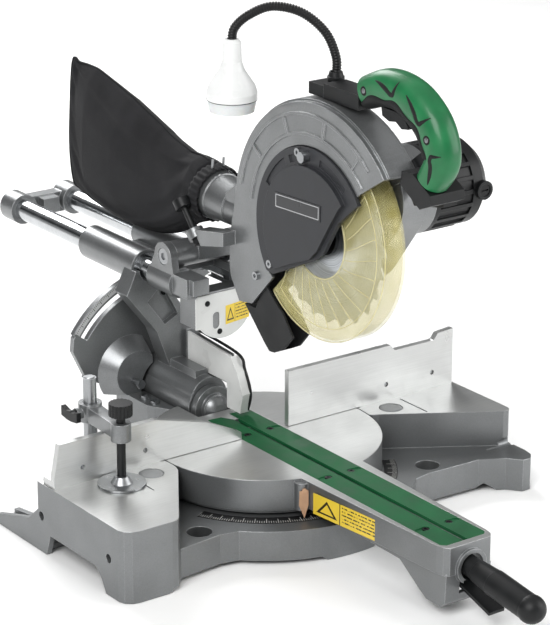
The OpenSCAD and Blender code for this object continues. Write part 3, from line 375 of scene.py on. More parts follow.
def woven_polyester(colour):
    """Plain-woven polyester bag cloth: thread ribs both ways, drawn 1.2 mm apart to show, dull sheen."""
    mat, tree, bsdf = material("woven_polyester", Roughness=0.85, Sheen_Weight=0.03, Sheen_Roughness=0.5,
                               Specular_IOR_Level=0.2)
    uv = add(tree, "ShaderNodeUVMap", uv_map="cloth").outputs[0]
    spot = add(tree, SEPARATE, {0: uv})
    turn_per_mm = 2 * math.pi / 1.2
    phases = [add(tree, MATH, {0: spot.outputs[i], 1: turn_per_mm}, operation="MULTIPLY") for i in (0, 1)]
    waves = [add(tree, MATH, {0: phase}, operation="SINE") for phase in phases]
    weave = add(tree, MATH, {0: waves[0], 1: waves[1]}, operation="MULTIPLY")
    dust = add(tree, NOISE, lumps(place(tree), 55, detail=4))
    lint = add(tree, NOISE, lumps(place(tree), 3, detail=3))
    base = (*colour[:3], 1.0)
    light = (*[v * 1.7 + 0.004 for v in colour[:3]], 1.0)
    tone = add(
        tree, MATH,
        {
            0: add(tree, RANGE, span(dust, 0.35, 0.75, 0.0, 0.7)),
            1: add(tree, RANGE, span(lint, 0.5, 0.8, 0.0, 0.3))}, operation="ADD")
    feed(
        tree, bsdf,
        {
            "Base Color": add(tree, MIX, {0: tone, 6: base, 7: light}, data_type="RGBA"),
            "Normal": add(
                tree, BUMP,
                {
                    "Height": add(
                        tree, MATH,
                        {0: weave, 1: add(tree, MATH, {0: dust, 1: 2.0}, operation="MULTIPLY")},
                        operation="ADD"), "Distance": 0.12 * MM})})
    return mat


def printed_scale(name, ground, ink, step, long_step, tick):
    """Printed degree scale: u is the angle in degrees and v the place across the band, from 0 to 1."""
    mat, tree, bsdf = material(name, Roughness=0.45, Metallic=0.2)
    spot = add(tree, SEPARATE, {0: add(tree, "ShaderNodeUVMap", uv_map="scale").outputs[0]})

    def ticks(every, half, reach):
        near = add(
            tree, MATH,
            {
                0: add(
                    tree, MATH,
                    {
                        0: add(
                            tree, MATH,
                            {
                                0: add(tree, MATH, {0: spot.outputs[0], 1: every / 2}, operation="ADD"),
                                1: every}, operation="FLOORED_MODULO"), 1: every / 2},
                    operation="SUBTRACT")}, operation="ABSOLUTE")
        line = add(tree, MATH, {0: near, 1: half}, operation="LESS_THAN")
        inside = add(
            tree, MATH,
            {
                0: add(tree, MATH, {0: spot.outputs[1], 1: 1 - reach}, operation="GREATER_THAN"),
                1: add(tree, MATH, {0: spot.outputs[1], 1: 0.94}, operation="LESS_THAN")},
            operation="MULTIPLY")
        return add(tree, MATH, {0: line, 1: inside}, operation="MULTIPLY")

    drawn = add(
        tree, MATH, {0: ticks(step, tick, 0.4), 1: ticks(long_step, tick * 1.3, 0.75)},
        operation="MAXIMUM")
    wear_and_edge_highlight = add(tree, RANGE, span(add(tree, NOISE, lumps(place(tree), 5, detail=4)), 0.28, 0.4))
    feed(
        tree, bsdf,
        {
            "Base Color": add(
                tree, MIX,
                {0: add(tree, MATH, {0: drawn, 1: wear_and_edge_highlight}, operation="MULTIPLY"), 6: ground, 7: ink},
                data_type="RGBA"), "Normal": add(tree, BUMP, {"Height": drawn, "Distance": 0.03 * MM})})
    return mat


def printed_label():
    """Yellow vinyl label with black bars in place of words: u and v run from 0 to 1 over it."""
    mat, tree, bsdf = material("printed_vinyl_label", Roughness=0.4, Coat_Weight=0.3)
    spot = add(tree, SEPARATE, {0: add(tree, "ShaderNodeUVMap", uv_map="label").outputs[0]})
    u, v = spot.outputs[0], spot.outputs[1]
    lines = add(
        tree, MATH,
        {
            0: add(
                tree, MATH, {0: add(tree, MATH, {0: v, 1: 2 * math.pi * 6}, operation="MULTIPLY")},
                operation="SINE"), 1: 0.35}, operation="GREATER_THAN")
    words = add(
        tree, MATH,
        {
            0: add(
                tree, "ShaderNodeTexNoise",
                {
                    "Vector": add(
                        tree, "ShaderNodeMapping",
                        {"Vector": spot.inputs[0].links[0].from_socket, "Scale": (60, 6, 1)}).outputs[0],
                    "Scale": 1.0, "Detail": 0.0}).outputs[0], 1: 0.44}, operation="GREATER_THAN")
    right = add(
        tree, MATH,
        {
            0: add(tree, MATH, {0: u, 1: 0.42}, operation="GREATER_THAN"),
            1: add(tree, MATH, {0: u, 1: 0.95}, operation="LESS_THAN")}, operation="MULTIPLY")
    band = add(
        tree, MATH,
        {
            0: add(tree, MATH, {0: v, 1: 0.08}, operation="GREATER_THAN"),
            1: add(tree, MATH, {0: v, 1: 0.92}, operation="LESS_THAN")}, operation="MULTIPLY")
    ink = add(
        tree, MATH,
        {
            0: add(tree, MATH, {0: lines, 1: words}, operation="MULTIPLY"),
            1: add(tree, MATH, {0: right, 1: band}, operation="MULTIPLY")}, operation="MULTIPLY")
    # a plain three-cornered outline at the left end
    side = add(
        tree, MATH,
        {
            0: add(
                tree, MATH,
                {
                    0: add(
                        tree, MATH, {0: add(tree, MATH, {0: u, 1: 0.2}, operation="SUBTRACT")},
                        operation="ABSOLUTE"), 1: 4.6}, operation="MULTIPLY"), 1: v}, operation="ADD")
    low = add(tree, MATH, {0: v, 1: 0.16}, operation="GREATER_THAN")
    outer = add(
        tree, MATH, {0: add(tree, MATH, {0: side, 1: 0.86}, operation="LESS_THAN"), 1: low},
        operation="MULTIPLY")
    inner = add(
        tree, MATH,
        {
            0: add(tree, MATH, {0: side, 1: 0.7}, operation="LESS_THAN"),
            1: add(tree, MATH, {0: v, 1: 0.24}, operation="GREATER_THAN")}, operation="MULTIPLY")
    rule = add(
        tree, MATH,
        {
            0: add(
                tree, MATH, {0: add(tree, MATH, {0: u, 1: 0.39}, operation="SUBTRACT")},
                operation="ABSOLUTE"), 1: 0.006}, operation="LESS_THAN")
    drawn = add(
        tree, MATH,
        {
            0: add(tree, MATH, {0: ink, 1: rule}, operation="MAXIMUM"),
            1: add(tree, MATH, {0: outer, 1: inner}, operation="SUBTRACT")}, operation="MAXIMUM")
    feed(
        tree, bsdf,
        {
            "Base Color": add(
                tree, MIX, {0: drawn, 6: linear("#e2c33a"), 7: linear("#1c1a12")}, data_type="RGBA"),
            "Normal": add(
                tree, BUMP, {"Height": add(tree, NOISE, lumps(place(tree), 14)), "Distance": 0.03 * MM})})
    return mat


# ------------------------------------------------------------------ surfaces


def smooth_path(points, steps):
    """Catmull-Rom curve through points, steps to a span:
    p = (2b + (c - a) t + (2a - 5b + 4c - d) t^2 + (3b - a - 3c + d) t^3) / 2."""
    p = np.array(points, float)
    last = len(p) - 1
    i = np.repeat(np.arange(last), steps)
    t = np.tile(np.arange(steps) / steps, last)[:, None]
    a, b, c, d = p[np.maximum(i - 1, 0)], p[i], p[i + 1], p[np.minimum(i + 2, last)]
    curve = 0.5 * (2 * b + (c - a) * t + (2 * a - 5 * b + 4 * c - d) * t ** 2
                   + (3 * b - a - 3 * c + d) * t ** 3)
    return np.vstack([curve, p[-1]])


def unit(v):
    """Vectors of length 1."""
    return v / np.linalg.norm(v, axis=-1, keepdims=True)


def frames_along(path, side):
    """Two directions square to a path: one nearest to side, and one square to both."""
    ahead = unit(np.gradient(path, axis=0))
    side = np.broadcast_to(np.array(side, float), path.shape)
    a = unit(side - (side * ahead).sum(1, keepdims=True) * ahead)
    return a, np.cross(ahead, a)


def tube_points(path, wide, tall, side, turns, power=1.0):
    """Rings of a tube: path + wide * |cos v|^power * a + tall * |sin v|^power * b, signs kept,
    with v round the ring."""
    a, b = frames_along(path, side)
    v = 2 * math.pi * np.arange(turns) / turns
    c = np.sign(np.cos(v)) * np.abs(np.cos(v)) ** power
    s = np.sign(np.sin(v)) * np.abs(np.sin(v)) ** power
    wide = np.broadcast_to(wide, len(path))
    tall = np.broadcast_to(tall, len(path))
    across = (wide[:, None] * c)[..., None] * a[:, None]
    upward = (tall[:, None] * s)[..., None] * b[:, None]
    return path[:, None] + across + upward


def closed_tube(rings):
    """Vertices and faces of a tube of rings, closed by a fan at each end."""
    m, n = rings.shape[:2]
    i, k = np.meshgrid(np.arange(m - 1), np.arange(n), indexing="ij")
    k2 = (k + 1) % n
    quads = np.stack([i * n + k, i * n + k2, (i + 1) * n + k2, (i + 1) * n + k], -1).reshape(-1, 4)
    k = np.arange(n)
    first = np.stack([np.full(n, m * n), (k + 1) % n, k], -1)
    last = np.stack([np.full(n, m * n + 1), (m - 1) * n + k, (m - 1) * n + (k + 1) % n], -1)
    points = np.vstack([rings.reshape(-1, 3), rings[0].mean(0), rings[-1].mean(0)])
    return points, quads.tolist() + first.tolist() + last.tolist()


def grid_quads(m, n):
    """Quads of an m by n grid of vertices, row by row."""
    i, k = np.meshgrid(np.arange(m - 1), np.arange(n - 1), indexing="ij")
    corner = i * n + k
    return np.stack([corner, corner + n, corner + n + 1, corner + 1], -1).reshape(-1, 4)


def slab(u, v, face, back):
    """Closed plate on a grid: face(u, v) and back(u, v) are its two skins, joined round the edge."""
    m, n = len(u), len(v)
    uu, vv = np.meshgrid(u, v, indexing="ij")
    points = np.vstack([face(uu, vv).reshape(-1, 3), back(uu, vv).reshape(-1, 3)])
    quads = grid_quads(m, n)
    rim = np.concatenate(
        [
            np.arange(m) * n, (m - 1) * n + np.arange(1, n), np.arange(m - 2, -1, -1) * n + n - 1,
            np.arange(n - 2, 0, -1)])
    after = np.roll(rim, -1)
    edge = np.stack([after, rim, rim + m * n, after + m * n], -1)
    return (
        points, quads.tolist() + (quads[:, ::-1] + m * n).tolist() + edge.tolist(),
        np.stack([uu, vv], -1).reshape(-1, 2))


def piece(name, points, faces, mat, body, slot, smooth=True, uv=None, uv_name="cloth"):
    """One finished mesh in metres from points in millimetres, with outward faces, riding on a body."""
    mesh = bpy.data.meshes.new(name)
    mesh.from_pydata((np.asarray(points) * MM).tolist(), [], faces)
    mesh.update()
    corners = np.zeros(len(mesh.loops), int)
    mesh.loops.foreach_get("vertex_index", corners)
    if uv is not None:
        layer = mesh.uv_layers.new(name=uv_name)
        layer.data.foreach_set("uv", np.asarray(uv, float)[corners].ravel())
    mesh.polygons.foreach_set("use_smooth", np.full(len(mesh.polygons), smooth))
    mesh.materials.append(mat)
    turn_outward(mesh)
    obj = bpy.data.objects.new(name, mesh)
    bpy.context.scene.collection.objects.link(obj)
    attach(obj, body)
    return obj


def turn_outward(mesh):
    """Flips every face if the closed mesh's signed volume, a sum of origin-corner tetrahedra, is negative."""
    mesh.calc_loop_triangles()
    tri = np.zeros(len(mesh.loop_triangles) * 3, int)
    mesh.loop_triangles.foreach_get("vertices", tri)
    co = np.zeros(len(mesh.vertices) * 3)
    mesh.vertices.foreach_get("co", co)
    co = co.reshape(-1, 3) - co.reshape(-1, 3).mean(0)
    a, b, c = co[tri.reshape(-1, 3)].transpose(1, 0, 2)
    if (a * np.cross(b, c)).sum() < 0:
        mesh.flip_normals()


def join_rings(parts):
    """Several closed meshes as one list of points and faces."""
    points, faces, start = [], [], 0
    for p, f in parts:
        points.append(p)
        faces += [[i + start for i in face] for face in f]
        start += len(p)
    return np.vstack(points), faces


def disc(centre, radius, height, axis, dome=0.0, turns=48):
    """Turned cap: a profile of radius and height, with a rounded edge and a crown of dome, round axis."""
    r = np.array([radius, radius, radius - 0.35 * height, radius * 0.7, radius * 0.35, 0.02])
    h = np.array([0, 0.6 * height, height, height + 0.6 * dome, height + 0.9 * dome, height + dome])
    v = 2 * math.pi * np.arange(turns) / turns
    axis = unit(np.array(axis, float))
    a = unit(np.cross(axis, [0.3, 0.5, 0.8]))
    b = np.cross(axis, a)
    rings = (np.array(centre, float) + r[:, None, None] * (np.cos(v)[:, None] * a + np.sin(v)[:, None] * b)
             + h[:, None, None] * axis)
    return closed_tube(rings)


# ------------------------------------------------------------------ properties


def colour_prop(name, description, hex_colour):
    """A colour with an sRGB default."""
    return bpy.props.FloatVectorProperty(
        name=name, description=description, subtype="COLOR", size=4, min=0, max=1,
        default=linear(hex_colour))


def length_prop(name, description, default_mm, top_mm):
    """A length in metres with a millimetre default."""
    return bpy.props.FloatProperty(name=name, description=description, default=default_mm * MM, min=0.0,
                                   max=top_mm * MM, unit="LENGTH", subtype="DISTANCE", precision=4)


class SawFinishes(bpy.types.PropertyGroup):
    """Colours of the saw's main finishes"""
    paint: colour_prop("Casting lacquer", "Colour of the lacquered die castings", "#868889")
    metal: colour_prop("Bare aluminium", "Colour of the milled table and fences", "#cfd0cf")
    green: colour_prop("Housing green", "Colour of the grip and the kerf inserts", "#1c6b3f")


class SawBag(bpy.types.PropertyGroup):
    """Shape of the dust bag"""
    cloth: colour_prop("Bag cloth", "Colour of the woven bag", "#1a1a1c")
    sag: length_prop("Sag", "How far the loaded middle of the bag hangs down", 4.0, 12.0)
    crease: length_prop("Creases", "Depth of the soft folds that run out from the collar", 2.4, 6.0)


class SawTrim(bpy.types.PropertyGroup):
    """Small sizes of the trim"""
    neck_pitch: length_prop("Neck pitch", "Distance between the turns of the lamp's flexible neck", 3.2, 8.0)
    rib_width: length_prop("Guard rib width", "Width of the curved ribs on the clear guard", 1.3, 4.0)
    hook_width: length_prop("Grip inlay width", "Half width of the rubber hooks in the grip", 3.2, 5.0)


class SawStudio(bpy.types.PropertyGroup):
    """Studio and camera"""
    key: bpy.props.FloatProperty(
        name="Key light", description="Power of the large soft key light", default=118.0, min=0.0,
        unit="POWER")
    lens: bpy.props.FloatProperty(
        name="Lens", description="Focal length for a 36 mm high picture", default=150.6, min=20.0,
        max=400.0, unit="CAMERA")


# ------------------------------------------------------------------ operators


def dress(mat, names):
    """Puts a material on CAD nodes."""
    for name in names.split():
        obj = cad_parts[name]
        if not obj.material_slots:
            obj.data.materials.append(mat)
        for entry in obj.material_slots:
            entry.material = mat


class SAW_OT_castings(bpy.types.Operator):
    """Lacquered and machined finishes of the castings"""
    bl_idname = "saw.castings"
    bl_label = "Castings"

    def execute(self, context):
        look = context.scene.saw_finishes
        dress(machined_top_casting(look.paint, look.metal), "base_casting turntable")
        dress(
            painted_casting(look.paint),
            "bevel_base tilt_holder pivot_cap rear_bridge carriage_bracket blade_case dust_duct "
            "gear_case laser_housing vise_arm")
        dress(machined_aluminium(look.metal), "left_fence right_fence")
        return {"FINISHED"}


class SAW_OT_metalwork(bpy.types.Operator):
    """Steel pipes, shafts, screws, spring and blade"""
    bl_idname = "saw.metalwork"
    bl_label = "Metalwork"

    def execute(self, context):
        dress(
            bright_steel("hard_chromed_tube", "#c9cbcd", 0.16, 1.5, 1),
            "pipe_left pipe_right pivot_shaft slide_bearings")
        dress(
            bright_steel("zinc_plated_steel", "#a9abad", 0.32, 1.0, None),
            "vise_post fence_screws pivot_bolt base_bolts hinge_pin return_spring case_screws "
            "bag_clip vise_pad armature")
        dress(
            bright_steel("oiled_black_steel", "#3a3b3c", 0.38, 1.0, None),
            "insert_screws spindle arbor_clamp")
        dress(saw_plate(), "blade")
        return {"FINISHED"}


class SAW_OT_mouldings(bpy.types.Operator):
    """Plastic and rubber mouldings that keep their CAD shape"""
    bl_idname = "saw.mouldings"
    bl_label = "Mouldings"

    def execute(self, context):
        black = moulded("glass_filled_nylon", "#161718", 0.4, edge_mm=1.2)
        dress(black, "vise_post_bolt vise_arm_bolt vise_screw detent_lever bevel_clamp_lever slide_lock_knob "
              "motor_housing motor_end_cover handle_frame trigger lamp_base depth_stop")
        dress(moulded("soft_pvc_grip", "#1a1b1c", 0.48, 1.4, 0.05, edge_mm=1.2), "side_handle chip_flap")
        dress(moulded("bakelite_cap", "#0e0e0f", 0.3), "brush_caps")
        dress(moulded("charcoal_polyamide", "#313235", 0.42, 1.0, edge_mm=1.4), "side_cover")
        dress(moulded("white_abs", "#e2e3e2", 0.28, 1.2, 0.005, 0.3, 0.97), "lamp_head")
        dress(
            moulded("grey_white_polycarbonate", "#d3d4d2", 0.3, 1.2, 0.01, 0.2, 0.95, 0.8),
            "chip_shield laser_cover")
        dress(moulded("tan_acetal", "#c79f80", 0.4), "mitre_pointer")
        green = context.scene.saw_finishes.green
        shade = (*[v * 0.68 for v in green[:3]], 1.0)
        insert = moulded("green_abs_insert", shade, 0.55, 1.0, 0.02, edge_mm=0.8)
        dress(insert, "insert_left insert_right")
        dress(frosted_diffuser(), "lamp_lens")
        dress(clear_guard(), "lower_guard")
        return {"FINISHED"}


def bag_surface(path, high, wide, sag, crease, turns=96):
    """The bag's skin: an eye-shaped ring, wide * |cos v|^1.15 by high * |sin v|^0.8, on a spine.

    Folds run out from the collar as crease * e^(-4u) * sin(9v + 10u), a slack wave grows towards the end as
    sin(22u), and the loaded belly drops by sag * sin(pi u) * (0.4 - 0.6 sin v)."""
    u = np.linspace(0, 1, len(path))[:, None]
    v = 2 * math.pi * np.arange(turns)[None] / turns
    a, b = frames_along(path, (1, 0, 0))
    b = b * np.where(b[:, 2:3] < 0, -1, 1)
    cos, sin = np.cos(v), np.sin(v)
    flat = np.sign(cos) * np.abs(cos) ** 1.15
    rise = np.sign(sin) * np.abs(sin) ** 0.8
    slack = 0.35 * np.sin(3 * v + 7 * u) * np.sin(math.pi * u) ** 2
    fold = crease * (np.exp(-4 * u) * np.sin(9 * v + 10 * u) + slack)
    fold = fold + crease * 0.5 * np.sin(22 * u + 2.5 * rise) * np.abs(cos) ** 2 * u
    out = wide[:, None] * flat + fold * np.sign(cos) * np.abs(cos) ** 0.7
    up = high[:, None] * rise
    drop = sag * np.sin(math.pi * u) * (0.4 - 0.6 * sin)
    points = path[:, None] + out[..., None] * a[:, None] + up[..., None] * b[:, None]
    points[..., 2] -= drop
    around = np.cumsum(np.linalg.norm(np.diff(points, axis=1, prepend=points[:, -1:]), axis=2), axis=1)
    along = np.cumsum(np.linalg.norm(np.diff(path, axis=0, prepend=path[:1]), axis=1))[:, None] + 0 * around
    return points, np.stack([along, around], -1)


def settle(obj, cap, frames=14):
    """Lets cloth hang for a few frames under gravity and light filling, with both ends held, then keeps
    each point within cap of where it was cut."""
    mesh = obj.data
    before = np.zeros(len(mesh.vertices) * 3)
    mesh.vertices.foreach_get("co", before)
    before = before.reshape(-1, 3)
    y = before[:, 1]
    held = np.where((y < y.min() + 0.02) | (y > y.max() - 0.012))[0]
    group = obj.vertex_groups.new(name="held")
    group.add(held.tolist(), 1.0, "REPLACE")
    cloth = obj.modifiers.new("hang", "CLOTH")
    cloth.settings.vertex_group_mass = "held"
    cloth.settings.quality = 4
    cloth.settings.mass = 0.25
    cloth.settings.tension_stiffness = 40
    cloth.settings.compression_stiffness = 10
    cloth.settings.bending_stiffness = 0.6
    cloth.settings.use_pressure = True
    cloth.settings.uniform_pressure_force = 1.5
    scene = bpy.context.scene
    for step in range(1, frames + 1):
        scene.frame_set(step)
    hung = obj.evaluated_get(bpy.context.evaluated_depsgraph_get()).to_mesh()
    after = np.zeros(len(hung.vertices) * 3)
    hung.vertices.foreach_get("co", after)
    after = after.reshape(-1, 3)
    obj.modifiers.remove(cloth)
    obj.vertex_groups.clear()
    scene.frame_set(1)
    move = after - before
    far = np.linalg.norm(move, axis=1, keepdims=True)
    after = before + move * np.minimum(1, cap / np.maximum(far, 1e-9))
    mesh.vertices.foreach_set("co", after.ravel())
    mesh.update()


class SAW_OT_dust_bag(bpy.types.Operator):
    """Fabric dust bag, its piped seams, its end band and the gathered collar"""
    bl_idname = "saw.dust_bag"
    bl_label = "Dust bag"

    def execute(self, context):
        look = context.scene.saw_bag
        cloth = woven_polyester(look.cloth)
        path = smooth_path(BAG_SPINE, 18)
        t = np.linspace(0, 1, len(path))
        spans = np.linspace(0, 1, len(BAG_HEIGHT))
        high = np.interp(t, spans, BAG_HEIGHT)
        wide = np.interp(t, spans, BAG_WIDTH)
        rings, uv = bag_surface(path, high, wide, look.sag / MM, look.crease / MM)
        points, faces = closed_tube(rings)
        uv = np.vstack([uv.reshape(-1, 2), uv[0].mean(0), uv[-1].mean(0)])
        bag = piece("dust_bag_cloth", points, faces, cloth, "head", "bag_fabric", uv=uv)
        settle(bag, 5 * MM)
        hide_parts("dust_bag")
        co = np.zeros(len(bag.data.vertices) * 3)
        bag.data.vertices.foreach_get("co", co)
        rings = (co.reshape(-1, 3)[:-2] / MM).reshape(*rings.shape)
        # piping along the top and bottom seams and down the end
        quarter = rings.shape[1] // 4
        seams = [rings[3:, quarter], rings[3:, 3 * quarter]]
        end = rings[-2, quarter:3 * quarter + 1]
        parts = [closed_tube(tube_points(s, 1.5, 1.5, (1, 0, 0.2), 8)) for s in seams + [end]]
        points, faces = join_rings(parts)
        piping = moulded("bound_seam_tape", "#1d1d1f", 0.8, 1.0, 0.1)
        piece("dust_bag_piping", points, faces, piping, "head", "bag_fabric")
        collar = self.collar()
        piece("dust_bag_collar", *collar, piping, "head", "bag_fabric")
        return {"FINISHED"}

    def collar(self):
        """Gathered band over the outlet: a ring of radius 33.6 + 0.9 * cos(28 v) mm, round at both edges."""
        v = 2 * math.pi * np.arange(168) / 168
        start = np.array([5.0, 101.0, 365.8])
        ahead = unit(np.array([0, math.cos(math.radians(6)), math.sin(math.radians(6))]))
        a = np.array([1.0, 0, 0])
        b = np.cross(ahead, a)
        section = 2 * math.pi * np.arange(10) / 10
        r = 33.6 + 0.9 * np.cos(28 * v)[:, None] + 1.2 * np.cos(section)[None]
        s = 9.0 + 10.0 * np.sin(section)[None] + 0 * r
        rings = (start + s[..., None] * ahead + r[..., None] * (np.cos(v)[:, None, None] * a
                 + np.sin(v)[:, None, None] * b))
        m, n = rings.shape[:2]
        i, k = np.meshgrid(np.arange(m), np.arange(n), indexing="ij")
        i2, k2 = (i + 1) % m, (k + 1) % n
        quads = np.stack([i * n + k, i2 * n + k, i2 * n + k2, i * n + k2], -1).reshape(-1, 4)
        return rings.reshape(-1, 3), quads.tolist()


class SAW_OT_lamp_neck(bpy.types.Operator):
    """Flexible neck of the work lamp, a wound metal hose in black sleeve"""
    bl_idname = "saw.lamp_neck"
    bl_label = "Lamp neck"

    def execute(self, context):
        pitch = context.scene.saw_trim.neck_pitch / MM
        path = smooth_path(NECK_SPINE, 100)
        run = np.concatenate([[0], np.cumsum(np.linalg.norm(np.diff(path, axis=0), axis=1))])
        even = np.linspace(0, run[-1], int(run[-1] / pitch * 6))
        path = np.stack([np.interp(even, run, path[:, i]) for i in range(3)], 1)
        radius = 5.1 + 0.45 * np.cos(2 * math.pi * even / pitch)
        points, faces = closed_tube(tube_points(path, radius, radius, (0.77, 0.64, 0.02), 20))
        neck = piece(
            "lamp_neck_hose", points, faces, moulded("pvc_sleeved_hose", "#151516", 0.4), "head",
            "black_plastic")
        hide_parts("gooseneck")
        return {"FINISHED"}


def grip_at(s, v, proud=0.0):
    """A point of the grip: path(s) + (w + proud) * |cos v|^0.85 * x + (t + proud) * |sin v|^0.85 * n.

    s runs from 0 to 1 along it, w = 17 + 2 sin(pi s), t = 17.4 + 4 sin(pi s), and finger waves of
    0.9 sin(8 pi s) mm are pressed into its inner side."""
    path = smooth_path(GRIP_SPINE, 40)
    a, b = frames_along(path, (1, 0, 0))
    t = np.linspace(0, 1, len(path))
    s, v = np.broadcast_arrays(np.asarray(s, float), np.asarray(v, float))

    def along(values):
        return np.stack([np.interp(s, t, values[:, i]) for i in range(3)], -1)

    cos, sin = np.cos(v), np.sin(v)
    wide = (17 + 2 * np.sin(math.pi * s) + proud) * np.sign(cos) * np.abs(cos) ** 0.85
    tall = 17.4 + 4 * np.sin(math.pi * s) + proud
    tall = tall * np.sign(sin) * np.abs(sin) ** 0.85
    wave = 0.9 * np.sin(s * 8 * math.pi) * np.clip(-sin, 0, 1) * np.sin(math.pi * s)
    b = along(b)
    return along(path) + wide[..., None] * along(a) + (tall + wave)[..., None] * b


class SAW_OT_grip(bpy.types.Operator):
    """Sculpted main grip with its rubber hooks, dark palm side and sunk screws"""
    bl_idname = "saw.grip"
    bl_label = "Grip"

    def execute(self, context):
        green = moulded("green_abs_grip", context.scene.saw_finishes.green, 0.4, 0.9, 0.03, 0.2)
        black = moulded("moulded_in_rubber", "#161717", 0.6, 1.1, 0.06)
        s = np.linspace(0, 1, 150)[:, None]
        v = 2 * math.pi * np.arange(72)[None] / 72
        rings = grip_at(s, v)
        points, faces = closed_tube(rings)
        grip = piece("main_grip", points, faces, green, "head", "green_plastic")
        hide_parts("handle_grip")
        # the palm side is black rubber with a scalloped edge
        palm_v = math.radians(self.palm_angle(rings))
        uu = np.linspace(0.0, 0.8, 120)
        vv = np.linspace(-1, 1, 25)

        def skin(proud):
            def at(u, w):
                half = math.radians(58) + math.radians(16) * np.sin(u * 4.5 * math.pi) ** 2
                return grip_at(u, palm_v + w * half, proud * (1 - w ** 6) - 0.1)
            return at

        points, faces, _ = slab(uu, vv, skin(3.2), skin(-1.5))
        piece("grip_palm_rubber", points, faces, black, "head", "black_rubber")
        width = context.scene.saw_trim.hook_width / MM
        parts = [self.hook(*h, width) for h in self.hooks()]
        points, faces = join_rings(parts)
        piece("grip_hooks", points, faces, black, "head", "black_rubber")
        self.screws()
        return {"FINISHED"}

    def palm_angle(self, rings):
        """Angle of the ring point nearest the hand opening, in degrees."""
        opening = np.array([8.0, -245.0, 505.0])
        mid = rings[len(rings) // 2]
        return 360.0 * int(np.argmin(np.linalg.norm(mid - opening, axis=1))) / rings.shape[1]

    def hooks(self):
        """Start along the grip, length of the long stroke, and which way the short stroke turns."""
        return [(0.17, 0.2, 1), (0.4, 0.22, 1), (0.7, 0.24, -1)]

    def hook(self, start, length, way, width):
        """A hooked stroke on the left face, thickest in its middle as width * sin(pi t)^0.6.

        It runs along the grip by length * t and across it by 44 degrees * (t - 1.5 turn^2), so that it turns
        back over its last part."""
        t = np.linspace(0, 1, 40)
        turn = np.clip((t - 0.55) / 0.45, 0, 1)
        if way > 0:
            run = start + length * (np.minimum(t, 0.7) + 0.25 * np.clip(t - 0.7, 0, 1))
        else:
            run = start + length * (1 - np.minimum(t, 0.75))
        across = math.radians(158) + math.radians(44) * (t - 1.5 * turn ** 2) * (1 if way > 0 else 0.9)
        path = grip_at(run, across, -0.2)
        out = unit(grip_at(run, across, 4.0) - path)
        half = width * np.sin(math.pi * np.clip(t, 0.02, 0.98)) ** 0.6
        ahead = unit(np.gradient(path, axis=0))
        side = unit(np.cross(out, ahead))
        v = 2 * math.pi * np.arange(10) / 10
        rings = (path[:, None] + (half[:, None] * np.cos(v))[..., None] * side[:, None]
                 + (np.minimum(0.9, half)[:, None] * np.sin(v))[..., None] * out[:, None])
        return closed_tube(rings)

    def screws(self):
        """Two sunk screws: a dark disc round each, a painted shade of the sunk well, and a steel head with a
        dished middle.
        """
        steel = bright_steel("zinc_plated_screw", "#8b8d8f", 0.35, 1.0, None)
        # painted shade: a near-black disc stands where the screw's sunk well lies in shade
        rim = moulded("screw_well_painted_shade", "#101111", 0.6)
        heads, wells = [], []
        for s in (0.07, 0.66):
            centre = grip_at(s, math.pi, 0.0)
            heads.append(disc(centre + np.array([0.3, 0, 0]), 3.1, 0.7, (-1, 0, 0), 0.3, 24))
            wells.append(disc(centre + np.array([0.8, 0, 0]), 5.4, 1.0, (-1, 0, 0), 0.0, 32))
        piece("grip_screw_wells", *join_rings(wells), rim, "head", "black_rubber")
        piece("grip_screws", *join_rings(heads), steel, "head", "steel")


class SAW_OT_guard_ribs(bpy.types.Operator):
    """Curved ribs and rims of the clear lower guard"""
    bl_idname = "saw.guard_ribs"
    bl_label = "Guard ribs"

    def execute(self, context):
        half = context.scene.saw_trim.rib_width / MM / 2
        look = guard_rib()
        parts = [self.rib(a, half) for a in np.arange(142, 312, 13)]
        for radius, a0, a1, thick in ((124.2, 129, 313, 0.8), (109.0, 130, 312, 0.7), (50.6, 150, 300, 1.2)):
            angle = np.radians(np.linspace(a0, a1, 90))
            parts.append(closed_tube(tube_points(self.at(radius, angle), thick, thick, (1, 0, 0), 8)))
        piece("guard_ribs", *join_rings(parts), look, "lower_guard", "clear_guard")
        return {"FINISHED"}

    def at(self, radius, angle):
        """Points on the guard's left face about the arbor."""
        y = ARBOR[0] + radius * np.cos(angle)
        z = ARBOR[1] + radius * np.sin(angle)
        return np.stack([np.full_like(angle, -14.0), y, z], -1)

    def rib(self, angle, half):
        """A rib that straightens as it runs out: angle + 16 degrees * (1 - t)^1.5 at radius 54 + 54 t."""
        t = np.linspace(0, 1, 26)
        lean = np.radians(angle + 16 * (1 - t) ** 1.5)
        return closed_tube(tube_points(self.at(54 + 54 * t, lean), 0.55, half, (1, 0, 0), 8))


